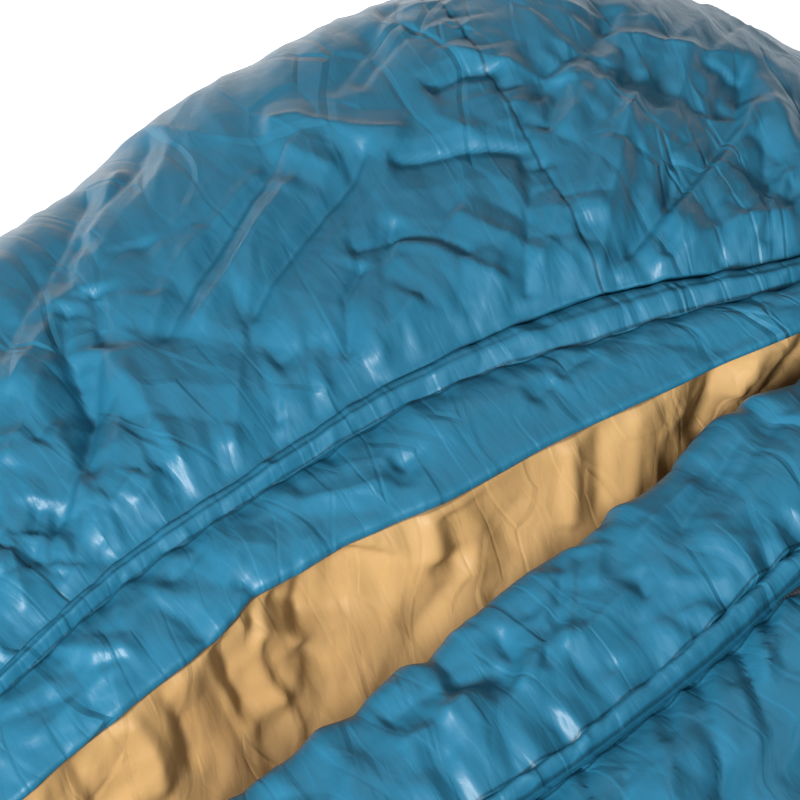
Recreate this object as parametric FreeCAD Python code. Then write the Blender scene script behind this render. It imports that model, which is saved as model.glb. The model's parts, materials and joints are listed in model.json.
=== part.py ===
import FreeCAD, Part
import math
import os

# Hooded camp quilt, lying on its pad side. Millimetres, +Z up, +Y towards the head, +X across.
# Origin: centre of the footprint, on the ground.
# The quilt is a padded tube that is open along its underside (the pad opening), closed by a zip near the foot.
# A padded hood continues it at the head. The face opening is the slit between the hood's rim and the neck rim.

V = FreeCAD.Vector
os.makedirs("parts", exist_ok=True)

# ---------------------------------------------------------------- driving dimensions
CROWN_Y = 1000.0          # head end of the quilt
FOOT_Y = -1000.0          # foot end of the quilt
HOOD_HALF_W = 266.0       # hood half width at the cheeks
HOOD_DEPTH = 249.0        # cheek line to crown
HOOD_TOP_Z = 170.0        # height of the hood
CHEEK_Z = 70.0            # height of the cheek points, where the hood tips
CROWN_SHARE = 0.985       # where the crown is cut flat, as a share of the depth
NECK_Y = CROWN_Y - CROWN_SHARE * HOOD_DEPTH
SHELL_T = 0.6             # stand-in thickness of a fabric layer
GAP = 0.4                 # clear space between neighbouring layers
LOFT = 42.0               # fill thickness, top and sides
LOFT_BOTTOM = 28.0        # fill thickness, underside
CORNER_R = 60.0           # lower side rounding
HOOD_LEAN = 22.5          # the hood rim leans back from the cheek line, degrees
NECK_LEAN = 1.0           # the neck rim leans forward, degrees
HOOD_RIM_W = 37.0         # hood rim, edge to drawcord channel
HOOD_CHANNEL_W = 12.0
NECK_RIM_W = 54.0
NECK_CHANNEL_W = 10.0
CORD_D = 3.0              # elastic drawcord
CORD_DEPTH = 4.5          # drawcord centre below the shell
SLOT_HALF_W = 170.0       # half width of the pad opening
SLOT_TOP_Y = 640.0
SLOT_LOW_Y = -380.0
ZIP_TOP_Y = -430.0
ZIP_HALF_W = 12.0         # half width of the zip's gap
CHAMBERS = 9              # crosswise fill chambers
FOOT_JOIN_Y = -925.0      # last chamber meets the foot panel
WEB_W = 20.0              # strap webbing width
STRAPS_Y = (300.0, -200.0)
N_TOP = 10                # facets per quarter of the top curve
EXP_TOP = 2.6             # squareness of the top curve
FIRST_Y = NECK_Y - 66.0   # first chamber seam
STEP_Y = (FIRST_Y - FOOT_JOIN_Y) / CHAMBERS
SEAMS = [FIRST_Y - k * STEP_Y for k in range(CHAMBERS + 1)]

# (y, half width, height) along the tube, straight between the chamber seams
PLAN = [(NECK_Y + 14, 266, 168), (NECK_Y, 266, 168), (SEAMS[0], 302, 176), (SEAMS[1], 352, 188), (SEAMS[2], 372, 190),
        (SEAMS[3], 370, 190), (SEAMS[4], 358, 188), (SEAMS[5], 342, 186), (SEAMS[6], 322, 184), (SEAMS[7], 302, 181),
        (SEAMS[8], 282, 178), (SEAMS[9], 262, 174), (FOOT_Y + 30, 245, 164), (FOOT_Y, 205, 140)]


def plan(y, extend=None):
    """Half width and height at y, straight between the seams, and past a seam as before it if extend names the span."""
    rows = PLAN
    i = 0
    while i < len(rows) - 2 and y < rows[i + 1][0]:
        i += 1
    if extend is not None:
        i = extend
    (y0, a0, h0), (y1, a1, h1) = rows[i], rows[i + 1]
    t = (y - y0) / (y1 - y0)
    return a0 + t * (a1 - a0), h0 + t * (h1 - h0)


def curve(a, zb, zt):
    """Closed outline in the XZ plane: flat underside, rounded lower sides, crowned top."""
    rb = min(CORNER_R, 0.45 * (zt - zb), 0.8 * a)
    zr = zb + rb
    pts = []
    for k in range(5):
        t = -math.pi / 2 + k * math.pi / 8
        pts.append((a - rb + rb * math.cos(t), zr + rb * math.sin(t)))
    for k in range(1, 2 * N_TOP):
        t = k * math.pi / (2 * N_TOP)
        c, s = math.cos(t), math.sin(t)
        x = math.copysign(abs(c) ** (2 / EXP_TOP), c) * a
        pts.append((x, zr + (zt - zr) * abs(s) ** (2 / EXP_TOP)))
    for k in range(5):
        t = math.pi + k * math.pi / 8
        pts.append((-(a - rb) + rb * math.cos(t), zr + rb * math.sin(t)))
    return pts


def wire(y, a, zb, zt):
    p = [V(x, y, z) for x, z in curve(a, zb, zt)]
    return Part.makePolygon(p + [p[0]])


def loft(wires):
    s = Part.makeLoft(wires, True, True)
    return s if s.Volume > 0 else s.reversed()


def tube(o, ob, y_hi, y_lo, span=None):
    """The body's envelope, taken in by o on the top and sides and ob underneath, from y_hi down to y_lo."""
    ys = [y_hi] + [r[0] for r in PLAN if y_lo < r[0] < y_hi] + [y_lo]
    if span is not None:
        ys = [y_hi, y_lo]
    w = []
    for y in ys:
        a, h = plan(y, span)
        w.append(wire(y, a - o, ob, h - o))
    return loft(w)


def hood(o, ob, start=-14.0):
    """The hood's envelope, taken in by o on the top, sides and crown and ob underneath."""
    w = []
    for s in (start / HOOD_DEPTH, 0.0, 0.2, 0.4, 0.58, 0.72, 0.83, 0.91, 0.96, CROWN_SHARE):
        q = max(s, 0.0)
        f = (1 - q ** 3) ** (1 / 3)
        fb = (1 - q ** 6) ** (1 / 6)
        a = (HOOD_HALF_W - o) * f
        zt = CHEEK_Z + (HOOD_TOP_Z - CHEEK_Z - o) * f
        zb = CHEEK_Z - (CHEEK_Z - ob) * fb
        w.append(wire(NECK_Y + s * (HOOD_DEPTH - o), a, zb, zt))
    return loft(w)


def prism_x(yz, x0=-450.0, x1=450.0):
    """A prism along X on an outline in the YZ plane."""
    p = [V(x0, y, z) for y, z in yz]
    return Part.Face(Part.makePolygon(p + [p[0]])).extrude(V(x1 - x0, 0, 0))


def prism_z(xy, z0, z1):
    p = [V(x, y, z0) for x, y in xy]
    return Part.Face(Part.makePolygon(p + [p[0]])).extrude(V(0, 0, z1 - z0))


def box(x0, x1, y0, y1, z0, z1):
    return Part.makeBox(x1 - x0, y1 - y0, z1 - z0, V(x0, y0, z0))


def solids(shape, least=5.0):
    s = [x for x in shape.Solids if x.Volume > least]
    return s[0] if len(s) == 1 else Part.makeCompound(s)


def save(name, shape):
    shape = solids(shape, 0.01)
    if not shape.isValid():
        print("INVALID", name)
    shape.exportStep("parts/%s.step" % name)
    b = shape.BoundBox
    print("%-26s %9.0f mm3 %d solids  x %.1f..%.1f y %.1f..%.1f z %.1f..%.1f" % (
        name, shape.Volume, len(shape.Solids), b.XMin, b.XMax, b.YMin, b.YMax, b.ZMin, b.ZMax))
    return shape


# ---------------------------------------------------------------- cutting outlines in YZ
CB, SB = math.cos(math.radians(HOOD_LEAN)), math.sin(math.radians(HOOD_LEAN))
CA, SA = math.cos(math.radians(NECK_LEAN)), math.sin(math.radians(NECK_LEAN))
TOP = 260.0


def on_hood(d, z):
    """y on the plane that lies d behind the hood's rim edge."""
    return NECK_Y + (d + (z - CHEEK_Z) * SB) / CB


def on_neck(d, z):
    """y on the plane that lies d below the neck's rim edge."""
    return NECK_Y - (d - (z - CHEEK_Z) * SA) / CA


E = 0.5  # the hood and the body each stand this far back from the cheek line
hood_all = [(NECK_Y + E, -20), (on_hood(E, CHEEK_Z), CHEEK_Z), (on_hood(E, TOP), TOP), (CROWN_Y + 40, TOP), (CROWN_Y + 40, -20)]


def hood_strip(d0, d1):
    return [(on_hood(d0, CHEEK_Z), CHEEK_Z + 0.2), (on_hood(d0, TOP), TOP), (on_hood(d1, TOP), TOP), (on_hood(d1, CHEEK_Z), CHEEK_Z + 0.2)]


hd = HOOD_RIM_W + HOOD_CHANNEL_W + GAP
hood_main = [(NECK_Y + E, -20), (NECK_Y + E, CHEEK_Z - 0.2), (on_hood(hd, CHEEK_Z), CHEEK_Z - 0.2), (on_hood(hd, TOP), TOP), (CROWN_Y + 40, TOP), (CROWN_Y + 40, -20)]
neck_all = [(FOOT_Y - 40, -20), (NECK_Y - E, -20), (on_neck(E, CHEEK_Z), CHEEK_Z), (on_neck(E, TOP), TOP), (FOOT_Y - 40, TOP)]


def neck_strip(d0, d1, y_low=None):
    return [(on_neck(d0, CHEEK_Z), CHEEK_Z + 0.2), (on_neck(d0, TOP), TOP), (on_neck(d1, TOP), TOP), (on_neck(d1, CHEEK_Z), CHEEK_Z + 0.2)]


# ---------------------------------------------------------------- drawcord lines along the rims
def hood_point(theta, d, o):
    """The point of the hood's surface, taken in by o, at angle theta and d behind the rim edge."""
    y = NECK_Y + 50
    for _ in range(60):
        s = max((y - NECK_Y) / (HOOD_DEPTH - o), 0)
        # straight between the loft's stations, as the solids are
        st = (0.0, 0.2, 0.4, 0.58, 0.72, 0.83, 0.91)
        k = max(i for i in range(len(st) - 1) if st[i] <= s)
        f0, f1 = ((1 - st[i] ** 3) ** (1 / 3) for i in (k, k + 1))
        u = (s - st[k]) / (st[k + 1] - st[k])
        ends = []
        for f in (f0, f1):
            a, zt = (HOOD_HALF_W - o) * f, CHEEK_Z + (HOOD_TOP_Z - CHEEK_Z - o) * f
            zb = o
            rb = min(CORNER_R, 0.45 * (zt - zb))
            c, sn = math.cos(theta), math.sin(theta)
            ends.append((math.copysign(abs(c) ** (2 / EXP_TOP), c) * a, zb + rb + (zt - zb - rb) * abs(sn) ** (2 / EXP_TOP)))
        x = ends[0][0] + u * (ends[1][0] - ends[0][0])
        z = ends[0][1] + u * (ends[1][1] - ends[0][1])
        y = on_hood(d, z)
    return V(x, y, z)


def neck_point(theta, d, o):
    y = NECK_Y - 30
    for _ in range(60):
        a, h = plan(y)
        rb = min(CORNER_R, 0.45 * (h - 2 * o))
        zr = o + rb
        c, sn = math.cos(theta), math.sin(theta)
        x = math.copysign(abs(c) ** (2 / EXP_TOP), c) * (a - o)
        z = zr + (h - o - zr) * abs(sn) ** (2 / EXP_TOP)
        y = on_neck(d, z)
    return V(x, y, z)


def rounded(points, radii):
    """A wire of straight runs joined by tangent arcs."""
    edges, at = [], points[0]
    for i in range(1, len(points) - 1):
        a, b, c = points[i - 1], points[i], points[i + 1]
        u, w = (a - b), (c - b)
        lu, lw = u.Length, w.Length
        u.normalize()
        w.normalize()
        turn = math.pi - u.getAngle(w)
        t = min(radii[i] * math.tan(turn / 2), 0.45 * min(lu, lw))
        if turn < 1e-3:
            continue
        p, q = b + u * t, b + w * t
        r = t / math.tan(turn / 2)
        m = (u + w)
        m.normalize()
        mid = b + m * (math.hypot(r, t) - r)
        edges.append(Part.LineSegment(at, p).toShape())
        edges.append(Part.Arc(p, mid, q).toShape())
        at = q
    edges.append(Part.LineSegment(at, points[-1]).toShape())
    return Part.Wire(edges)


def cord(points, radii):
    w = rounded(points, radii)
    d = points[1] - points[0]
    circle = Part.Wire(Part.makeCircle(CORD_D / 2, points[0], d))
    s = w.makePipeShell([circle], True, False)
    print("cord length %.1f, volume share %.4f" % (w.Length, s.Volume / (math.pi * CORD_D ** 2 / 4 * w.Length)))
    return s


thetas = [k * math.pi / (2 * N_TOP) for k in range(1, 2 * N_TOP)]
EXIT_Z = 79.0             # height at which a drawcord leaves its channel
LOCK_H, LOCK_R, LOCK_BORE = 20.0, 7.0, 5.3
HOLE_AT = 13.0            # cord hole above the lock's base
TRAVEL = 4.0              # plunger travel


def hood_size(y):
    f = (1 - max((y - NECK_Y) / HOOD_DEPTH, 0) ** 3) ** (1 / 3)
    return HOOD_HALF_W * f, CHEEK_Z + (HOOD_TOP_Z - CHEEK_Z) * f


def side_x(size, y, z):
    """Half width of the outer surface at y and z, on its crowned part."""
    a, h = size(y)
    zr = CORNER_R
    sn = max((z - zr) / (h - zr), 0) ** (EXP_TOP / 2)
    return a * math.sqrt(1 - sn * sn) ** (2 / EXP_TOP)


def lock_x(size, y):
    """Where a lock's axis stands clear of the side of the quilt."""
    return -(max(size(y - 8)[0], size(y + 8)[0]) + 1.2 + LOCK_R)


def drawcord(point, d, size):
    line = [point(t, d, CORD_DEPTH) for t in thetas]
    line = [p for p in line if p.z > EXIT_Z + 5]
    first, last = line[0], line[-1]      # first is on the right, last on the left
    left = point(math.pi - 1e-9, d, CORD_DEPTH)
    right = point(1e-9, d, CORD_DEPTH)

    def down(p, q, z):
        t = (p.z - z) / (p.z - q.z)
        return V(p.x + t * (q.x - p.x), p.y + t * (q.y - p.y), z)
    start = down(first, right, EXIT_Z)
    turn = down(last, left, EXIT_Z)
    out = V(lock_x(size, turn.y) - LOCK_R - 9.5, turn.y, turn.z)
    pts = [start] + line + [turn, out]
    rad = [30.0] * len(pts)
    rad[-2] = 6.0
    return cord(pts, rad), turn, out


hood_cord, hood_turn, hood_out = drawcord(hood_point, HOOD_RIM_W + HOOD_CHANNEL_W / 2, hood_size)
neck_cord, neck_turn, neck_out = drawcord(neck_point, NECK_RIM_W + NECK_CHANNEL_W / 2, plan)


def cord_hole(turn):
    """Clear way for the drawcord to leave through the side."""
    return box(turn.x - 60, turn.x + 2.2, turn.y - 3.2, turn.y + 3.2, turn.z - 3.2, turn.z + 9.0)


hood_hole, neck_hole = cord_hole(hood_turn), cord_hole(neck_turn)

# ---------------------------------------------------------------- hood
h0, h1 = hood(0, 0), hood(SHELL_T, SHELL_T)
f0, f1 = hood(SHELL_T + GAP, SHELL_T + GAP), hood(LOFT, LOFT_BOTTOM, -20)
l0, l1 = hood(LOFT + GAP, LOFT_BOTTOM + GAP), hood(LOFT + GAP + SHELL_T, LOFT_BOTTOM + GAP + SHELL_T, -20)
keep = prism_x(hood_all)
save("hood_shell", h0.common(keep).cut(h1).cut(hood_hole))
save("hood_lining", l0.common(keep).cut(l1))
hood_ring = f0.cut(f1)
main_fill = hood_ring.common(prism_x(hood_main))
# lengthwise seams, wider apart at the crown
SEAM_X, SEAM_SLOPE, SEAM_REF = 104.0, 0.363, NECK_Y + 83.0


def seam_x(y, off=0.0):
    return SEAM_X + SEAM_SLOPE * (y - SEAM_REF) + off


def slab(lo, hi, side):
    y0, y1 = NECK_Y - 30, CROWN_Y + 40
    return prism_z([(side * (seam_x(y0) + lo), y0), (side * (seam_x(y1) + lo), y1), (side * (seam_x(y1) + hi), y1), (side * (seam_x(y0) + hi), y0)], -20, 300)


save("hood_fill_right", main_fill.common(slab(0.6, 400, 1)))
save("hood_fill_left", main_fill.common(slab(0.6, 400, -1)))
save("hood_fill_centre", main_fill.cut(slab(-0.6, 400, 1)).cut(slab(-0.6, 400, -1)))
walls = main_fill.common(slab(-0.2, 0.2, 1)).Solids + main_fill.common(slab(-0.2, 0.2, -1)).Solids
save("hood_baffle_walls", Part.makeCompound(walls))
under = hood(8.4, 8.4).cut(f1)
rim = hood_ring.common(prism_x(hood_strip(E + 0.3, HOOD_RIM_W))).fuse(
    under.common(prism_x(hood_strip(HOOD_RIM_W - 0.01, HOOD_RIM_W + HOOD_CHANNEL_W))))
save("hood_rim_fill", rim.cut(hood_hole))
strip = prism_x(hood_strip(HOOD_RIM_W + 0.6, HOOD_RIM_W + HOOD_CHANNEL_W - 0.2))
t_out = f0.cut(hood(2.0, 2.0, -20)).common(strip).cut(hood_hole)
t_in = hood(7.0, 7.0).cut(hood(8.0, 8.0, -20)).common(strip)
save("hood_cord_tunnel", Part.makeCompound(t_out.Solids + t_in.Solids))
save("hood_drawcord", hood_cord)

# ---------------------------------------------------------------- body tube
slot = prism_z([(-SLOT_HALF_W, SLOT_TOP_Y), (SLOT_HALF_W, SLOT_TOP_Y), (SLOT_HALF_W, SLOT_LOW_Y), (ZIP_HALF_W, ZIP_TOP_Y),
                (ZIP_HALF_W, FOOT_JOIN_Y), (-ZIP_HALF_W, FOOT_JOIN_Y), (-ZIP_HALF_W, ZIP_TOP_Y), (-SLOT_HALF_W, SLOT_LOW_Y)], -5, 60)
keep = prism_x(neck_all)
shell = tube(0, -0.5, NECK_Y + 14, FOOT_JOIN_Y).cut(tube(SHELL_T, SHELL_T, NECK_Y + 20, FOOT_JOIN_Y - 5)).cut(box(-450, 450, -1100, 1100, -9, 0))
save("body_shell", shell.common(keep).cut(slot).cut(neck_hole))
lin = tube(LOFT + GAP, LOFT_BOTTOM + GAP, NECK_Y + 14, FOOT_JOIN_Y).cut(
    tube(LOFT + GAP + SHELL_T, LOFT_BOTTOM + GAP + SHELL_T, NECK_Y + 20, FOOT_JOIN_Y - 5))
save("body_lining", lin.common(keep).cut(slot))
wall_parts = []
for k in range(CHAMBERS):
    hi, lo, span = SEAMS[k], SEAMS[k + 1], k + 2
    ring = tube(SHELL_T + GAP, SHELL_T + GAP, hi - 0.6, lo + 0.6, span).cut(tube(LOFT, LOFT_BOTTOM, hi + 5, lo - 5, span)).cut(slot)
    save("fill_chamber_%d" % (k + 1), ring)
    if k:
        w = tube(SHELL_T + GAP, SHELL_T + GAP, hi - 0.001, hi - 0.4, span).cut(tube(LOFT, LOFT_BOTTOM, hi + 5, hi - 5, span)).cut(slot)
        wall_parts += w.Solids
save("baffle_walls", Part.makeCompound(wall_parts))

# neck: rim fill with the channel above it, and the yoke behind the neck
neck_ring = tube(SHELL_T + GAP, SHELL_T + GAP, NECK_Y + 14, SEAMS[0] + 0.4).cut(tube(LOFT, LOFT_BOTTOM, NECK_Y + 20, SEAMS[0] - 5))
under = tube(8.4, 8.4, NECK_Y + 14, SEAMS[0] + 0.4).cut(tube(LOFT, LOFT_BOTTOM, NECK_Y + 20, SEAMS[0] - 5))
rim = neck_ring.common(prism_x(neck_strip(E + 0.3, NECK_RIM_W))).fuse(
    under.common(prism_x(neck_strip(NECK_RIM_W - 0.01, NECK_RIM_W + NECK_CHANNEL_W))))
save("neck_rim_fill", rim.cut(neck_hole))
strip = prism_x(neck_strip(NECK_RIM_W + 0.6, NECK_RIM_W + NECK_CHANNEL_W - 0.2))
t_out = tube(SHELL_T + GAP, SHELL_T + GAP, NECK_Y + 14, SEAMS[0] + 0.4).cut(tube(2.0, 2.0, NECK_Y + 20, SEAMS[0] - 5)).common(strip).cut(neck_hole)
t_in = tube(7.0, 7.0, NECK_Y + 14, SEAMS[0] + 0.4).cut(tube(8.0, 8.0, NECK_Y + 20, SEAMS[0] - 5)).common(strip)
save("neck_cord_tunnel", Part.makeCompound(t_out.Solids + t_in.Solids))
save("neck_drawcord", neck_cord)
yoke = neck_ring.common(prism_x([(NECK_Y - E - 0.3, -20), (NECK_Y - E - 0.3, CHEEK_Z - 0.2), (SEAMS[0] + 0.4, CHEEK_Z - 0.2), (SEAMS[0] + 0.4, -20)]))
save("neck_yoke_fill", yoke)

# foot panel: a closed padded end
foot = tube(SHELL_T + GAP, SHELL_T + GAP, FOOT_JOIN_Y - 0.8, FOOT_Y + SHELL_T + GAP)
save("foot_fill", foot)
fs = tube(0, 0, FOOT_JOIN_Y - GAP, FOOT_Y).cut(tube(SHELL_T, SHELL_T, FOOT_JOIN_Y + 5, FOOT_Y + SHELL_T))
save("foot_shell", fs)
save("foot_lining", loft([wire(y, plan(FOOT_JOIN_Y)[0] - LOFT - 2, LOFT_BOTTOM + 2, plan(FOOT_JOIN_Y)[1] - LOFT - 2) for y in (FOOT_JOIN_Y - 0.1, FOOT_JOIN_Y - 0.5)]))

# ---------------------------------------------------------------- bound edges of the pad opening
for side, name in ((-1, "edge_binding_left"), (1, "edge_binding_right")):
    x0, x1 = sorted((side * (SLOT_HALF_W - 0.3), side * (SLOT_HALF_W - 1.5)))
    save(name, box(x0, x1, SLOT_LOW_Y + 2, SLOT_TOP_Y - 2, 0, LOFT_BOTTOM - 1))

# ---------------------------------------------------------------- foot zip
ZIP_LOW_Y = FOOT_JOIN_Y + 6
TAPE_Z = 10.0
for side, name in ((-1, "zip_tape_left"), (1, "zip_tape_right")):
    x0, x1 = sorted((side * 3.6, side * (ZIP_HALF_W - 0.4)))
    save(name, box(x0, x1, ZIP_LOW_Y, ZIP_TOP_Y - 4, TAPE_Z, TAPE_Z + 0.8))
rows = []
for side in (-1, 1):
    c = Part.makeCylinder(1.05, ZIP_TOP_Y - 20 - ZIP_LOW_Y - 6, V(side * 2.4, ZIP_LOW_Y + 6, TAPE_Z + 0.4), V(0, 1, 0))
    rows.append(c)
save("zip_coil", Part.makeCompound(rows))
save("zip_bottom_stop", box(-3.3, 3.3, ZIP_LOW_Y + 0.5, ZIP_LOW_Y + 5, TAPE_Z - 1, TAPE_Z + 1.8))
stops = [box(min(s * 1.5, s * 3.4), max(s * 1.5, s * 3.4), ZIP_TOP_Y - 5, ZIP_TOP_Y - 2, TAPE_Z - 0.8, TAPE_Z + 1.6) for s in (-1, 1)]
save("zip_top_stops", Part.makeCompound(stops))
SLIDER_Y = ZIP_TOP_Y - 20.0
lower = box(-5.5, 5.5, SLIDER_Y, SLIDER_Y + 13, TAPE_Z - 3.0, TAPE_Z - 1.6)
upper = box(-5.5, 5.5, SLIDER_Y, SLIDER_Y + 13, TAPE_Z + 2.4, TAPE_Z + 3.8)
post = box(-0.8, 0.8, SLIDER_Y + 4, SLIDER_Y + 12, TAPE_Z - 2, TAPE_Z + 3)
lug1 = box(-3.6, -2.4, SLIDER_Y + 3, SLIDER_Y + 8, TAPE_Z - 5.6, TAPE_Z - 2.9)
lug2 = box(2.4, 3.6, SLIDER_Y + 3, SLIDER_Y + 8, TAPE_Z - 5.6, TAPE_Z - 2.9)
PIN_Y, PIN_Z = SLIDER_Y + 5.5, TAPE_Z - 4.4
pin = Part.makeCylinder(0.6, 6.0, V(-3.0, PIN_Y, PIN_Z), V(1, 0, 0))
save("zip_slider", lower.fuse([upper, post, lug1, lug2, pin]))
eye = Part.makeCylinder(1.1, 3.6, V(-1.8, PIN_Y, PIN_Z), V(1, 0, 0))
blade = box(-1.8, 1.8, PIN_Y - 24, PIN_Y, PIN_Z - 0.7, PIN_Z + 0.7)
save("zip_pull", eye.fuse(blade).cut(Part.makeCylinder(0.68, 10, V(-5, PIN_Y, PIN_Z), V(1, 0, 0))))

# ---------------------------------------------------------------- cord locks
def lock(name, turn, out, size):
    """Barrel, plunger and spring standing on end beside the eyelet. The cord passes along X."""
    base = V(lock_x(size, turn.y), turn.y, turn.z - HOLE_AT)
    barrel = Part.makeCylinder(LOCK_R, LOCK_H, base).cut(Part.makeCylinder(LOCK_BORE, LOCK_H, base + V(0, 0, 1.5)))
    way = Part.makeCylinder(2.1, 40, base + V(-20, 0, HOLE_AT), V(1, 0, 0))
    save(name + "_lock_barrel", barrel.cut(way))
    stem = Part.makeCylinder(LOCK_BORE - 0.25, 18.0, base + V(0, 0, 8.6))
    cap = Part.makeCylinder(LOCK_BORE - 0.25, 1.6, base + V(0, 0, 26.4)).fuse(Part.makeSphere(LOCK_BORE - 0.3, base + V(0, 0, 24.4)))
    cut = box(base.x - 20, base.x + 20, base.y - 1.9, base.y + 1.9, base.z + HOLE_AT - 1.75, base.z + HOLE_AT + 1.9 + TRAVEL)
    save(name + "_lock_plunger", stem.fuse(cap).cut(cut))
    turns, per = 3.0, 12
    line = [base + V(3.4 * math.cos(2 * math.pi * k / per), 3.4 * math.sin(2 * math.pi * k / per), 2.1 + 5.7 * k / (turns * per))
            for k in range(int(turns * per) + 1)]
    w = rounded(line, [3.2] * len(line))
    circle = Part.Wire(Part.makeCircle(0.4, line[0], line[1] - line[0]))
    sp = w.makePipeShell([circle], True, False)
    print("spring volume share %.4f" % (sp.Volume / (math.pi * 0.16 * w.Length)))
    save(name + "_lock_spring", sp)
    # the eyelet lies on the fabric, square to it
    x = side_x(size, turn.y, turn.z)
    n = V(-1, -(side_x(size, turn.y + 1, turn.z) - side_x(size, turn.y - 1, turn.z)) / 2,
          -(side_x(size, turn.y, turn.z + 1) - side_x(size, turn.y, turn.z - 1)) / 2)
    n.normalize()
    p = V(-x, turn.y, turn.z) + n * 0.4
    save(name + "_cord_eyelet", Part.makeCylinder(5.5, 1.2, p, n).cut(Part.makeCylinder(2.7, 6, p - n * 3, n)))
    end = Part.makeCylinder(3.2, 11.0, out - V(3.0, 0, 0), V(1, 0, 0)).cut(
        Part.makeCylinder(CORD_D / 2 + 0.02, 8.2, out, V(1, 0, 0)))
    save(name + "_cord_end", end)
    print(name, "lock base", base, "turn", turn)


lock("hood", hood_turn, hood_out, hood_size)
lock("neck", neck_turn, neck_out, plan)

# ---------------------------------------------------------------- pad straps and buckles
STRAP_Z = 5.2
for name, y in zip(("upper", "lower"), STRAPS_Y):
    z0, z1 = STRAP_Z - 0.8, STRAP_Z + 0.8
    x = SLOT_HALF_W - 1.8
    # webbing folds round each buckle's bar
    save(name + "_strap_left", box(-x, -36.6, y - WEB_W / 2, y + WEB_W / 2, z0, z1))
    save(name + "_strap_right", box(26.6, x, y - WEB_W / 2, y + WEB_W / 2, z0, z1))
    body = box(-36, -4, y - 15, y + 15, 1.6, 10.0)
    body = body.cut(box(-29, 0, y - 12, y + 12, 3.2, 8.4))
    body = body.cut(box(-22, -14, y - 16, y + 16, 3.2, 8.4))
    body = body.cut(box(-34, -31, y - 10.5, y + 10.5, 0, 12))
    save(name + "_buckle_socket", body)
    plug = box(-3.4, 26, y - 15, y + 15, 1.8, 9.8)
    plug = plug.cut(box(4, 8, y - 10.5, y + 10.5, 0, 12)).cut(box(13, 17, y - 10.5, y + 10.5, 0, 12)).cut(box(20.5, 23.5, y - 10.5, y + 10.5, 0, 12))
    plug = plug.fuse(box(-26, -3, y - 2, y + 2, 3.8, 7.8))
    for s in (-1, 1):
        arm = prism_z([(-3, y + s * 7.5), (-3, y + s * 10.5), (-14.5, y + s * 11.2), (-22, y + s * 11.2), (-25.5, y + s * 8.0), (-22, y + s * 8.0)], 3.8, 7.8)
        plug = plug.fuse(arm)
    save(name + "_buckle_plug", plug.removeSplitter())
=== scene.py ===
import json
import math
import time

import bpy
import numpy as np
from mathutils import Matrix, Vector


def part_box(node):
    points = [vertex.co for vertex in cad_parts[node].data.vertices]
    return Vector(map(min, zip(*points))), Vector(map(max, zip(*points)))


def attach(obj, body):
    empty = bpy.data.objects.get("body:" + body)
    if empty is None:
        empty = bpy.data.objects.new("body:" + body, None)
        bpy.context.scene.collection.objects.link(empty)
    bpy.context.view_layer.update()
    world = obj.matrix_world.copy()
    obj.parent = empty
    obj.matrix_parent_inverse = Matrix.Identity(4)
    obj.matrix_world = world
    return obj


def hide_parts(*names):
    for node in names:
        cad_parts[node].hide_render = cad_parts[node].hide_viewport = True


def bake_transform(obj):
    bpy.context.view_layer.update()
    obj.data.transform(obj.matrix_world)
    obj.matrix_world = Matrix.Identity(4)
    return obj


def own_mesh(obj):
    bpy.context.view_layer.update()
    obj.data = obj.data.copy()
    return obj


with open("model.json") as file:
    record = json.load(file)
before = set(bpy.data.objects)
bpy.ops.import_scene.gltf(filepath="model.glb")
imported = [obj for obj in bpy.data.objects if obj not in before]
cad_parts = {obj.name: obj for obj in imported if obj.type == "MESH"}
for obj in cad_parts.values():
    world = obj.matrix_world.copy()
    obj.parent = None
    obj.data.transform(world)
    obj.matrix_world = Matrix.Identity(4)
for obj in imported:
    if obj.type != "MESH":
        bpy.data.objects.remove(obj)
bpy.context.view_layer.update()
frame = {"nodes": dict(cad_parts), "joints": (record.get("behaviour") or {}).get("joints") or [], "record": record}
record = frame["record"]
T0 = time.time()


def tick(what):
    print("TICK %-28s %.1f s" % (what, time.time() - T0))


# ------------------------------------------------------------------------------------------------ sizes, mm
lo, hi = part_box("hood_shell")
HOOD_Y0 = lo.y * 1000 - 0.6                      # cheek line
HOOD_HALF_W = hi.x * 1000                        # hood half width
HOOD_TOP = hi.z * 1000
CROWN = hi.y * 1000
HINGE = next(j for j in frame["joints"] if j["name"] == "hood_tilt")
NY = HINGE["pos_m"][1] * 1000
CHEEK_Z = HINGE["pos_m"][2] * 1000
HOOD_D = (CROWN - NY) / 0.985
EXP = 2.6
CORNER = 60.0
body_lo, body_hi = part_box("body_shell")
FOOT_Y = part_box("foot_shell")[0].y * 1000
seam_y = [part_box("fill_chamber_1")[1].y * 1000 + 0.6]
for k in range(1, 10):
    seam_y.append(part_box("fill_chamber_%d" % k)[0].y * 1000 - 0.6)
# half width and height of the tube at each chamber seam, from the CAD fills
SHELL_V = np.array([v.co for v in frame["nodes"]["body_shell"].data.vertices]) * 1000


def ring_size(y):
    near = SHELL_V[np.abs(SHELL_V[:, 1] - y) < 1.2]
    return float(near[:, 0].max()), float(near[:, 2].max())


PLAN = [(NY + 14, HOOD_HALF_W, HOOD_TOP - 2), (NY, HOOD_HALF_W, HOOD_TOP - 2)]
PLAN += [(y,) + ring_size(y) for y in seam_y]
PLAN += [(FOOT_Y + 30, PLAN[-1][1] - 17, PLAN[-1][2] - 10), (FOOT_Y, PLAN[-1][1] - 57, PLAN[-1][2] - 34)]
PY = np.array([p[0] for p in PLAN][::-1])
PA = np.array([p[1] for p in PLAN][::-1])
PH = np.array([p[2] for p in PLAN][::-1])


def plan(y):
    return np.interp(y, PY, PA), np.interp(y, PY, PH)


def hood_f(y):
    q = np.clip((y - NY) / HOOD_D, 0, 0.9995)
    return (1 - q ** 3) ** (1 / 3), (1 - q ** 6) ** (1 / 6)


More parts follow.
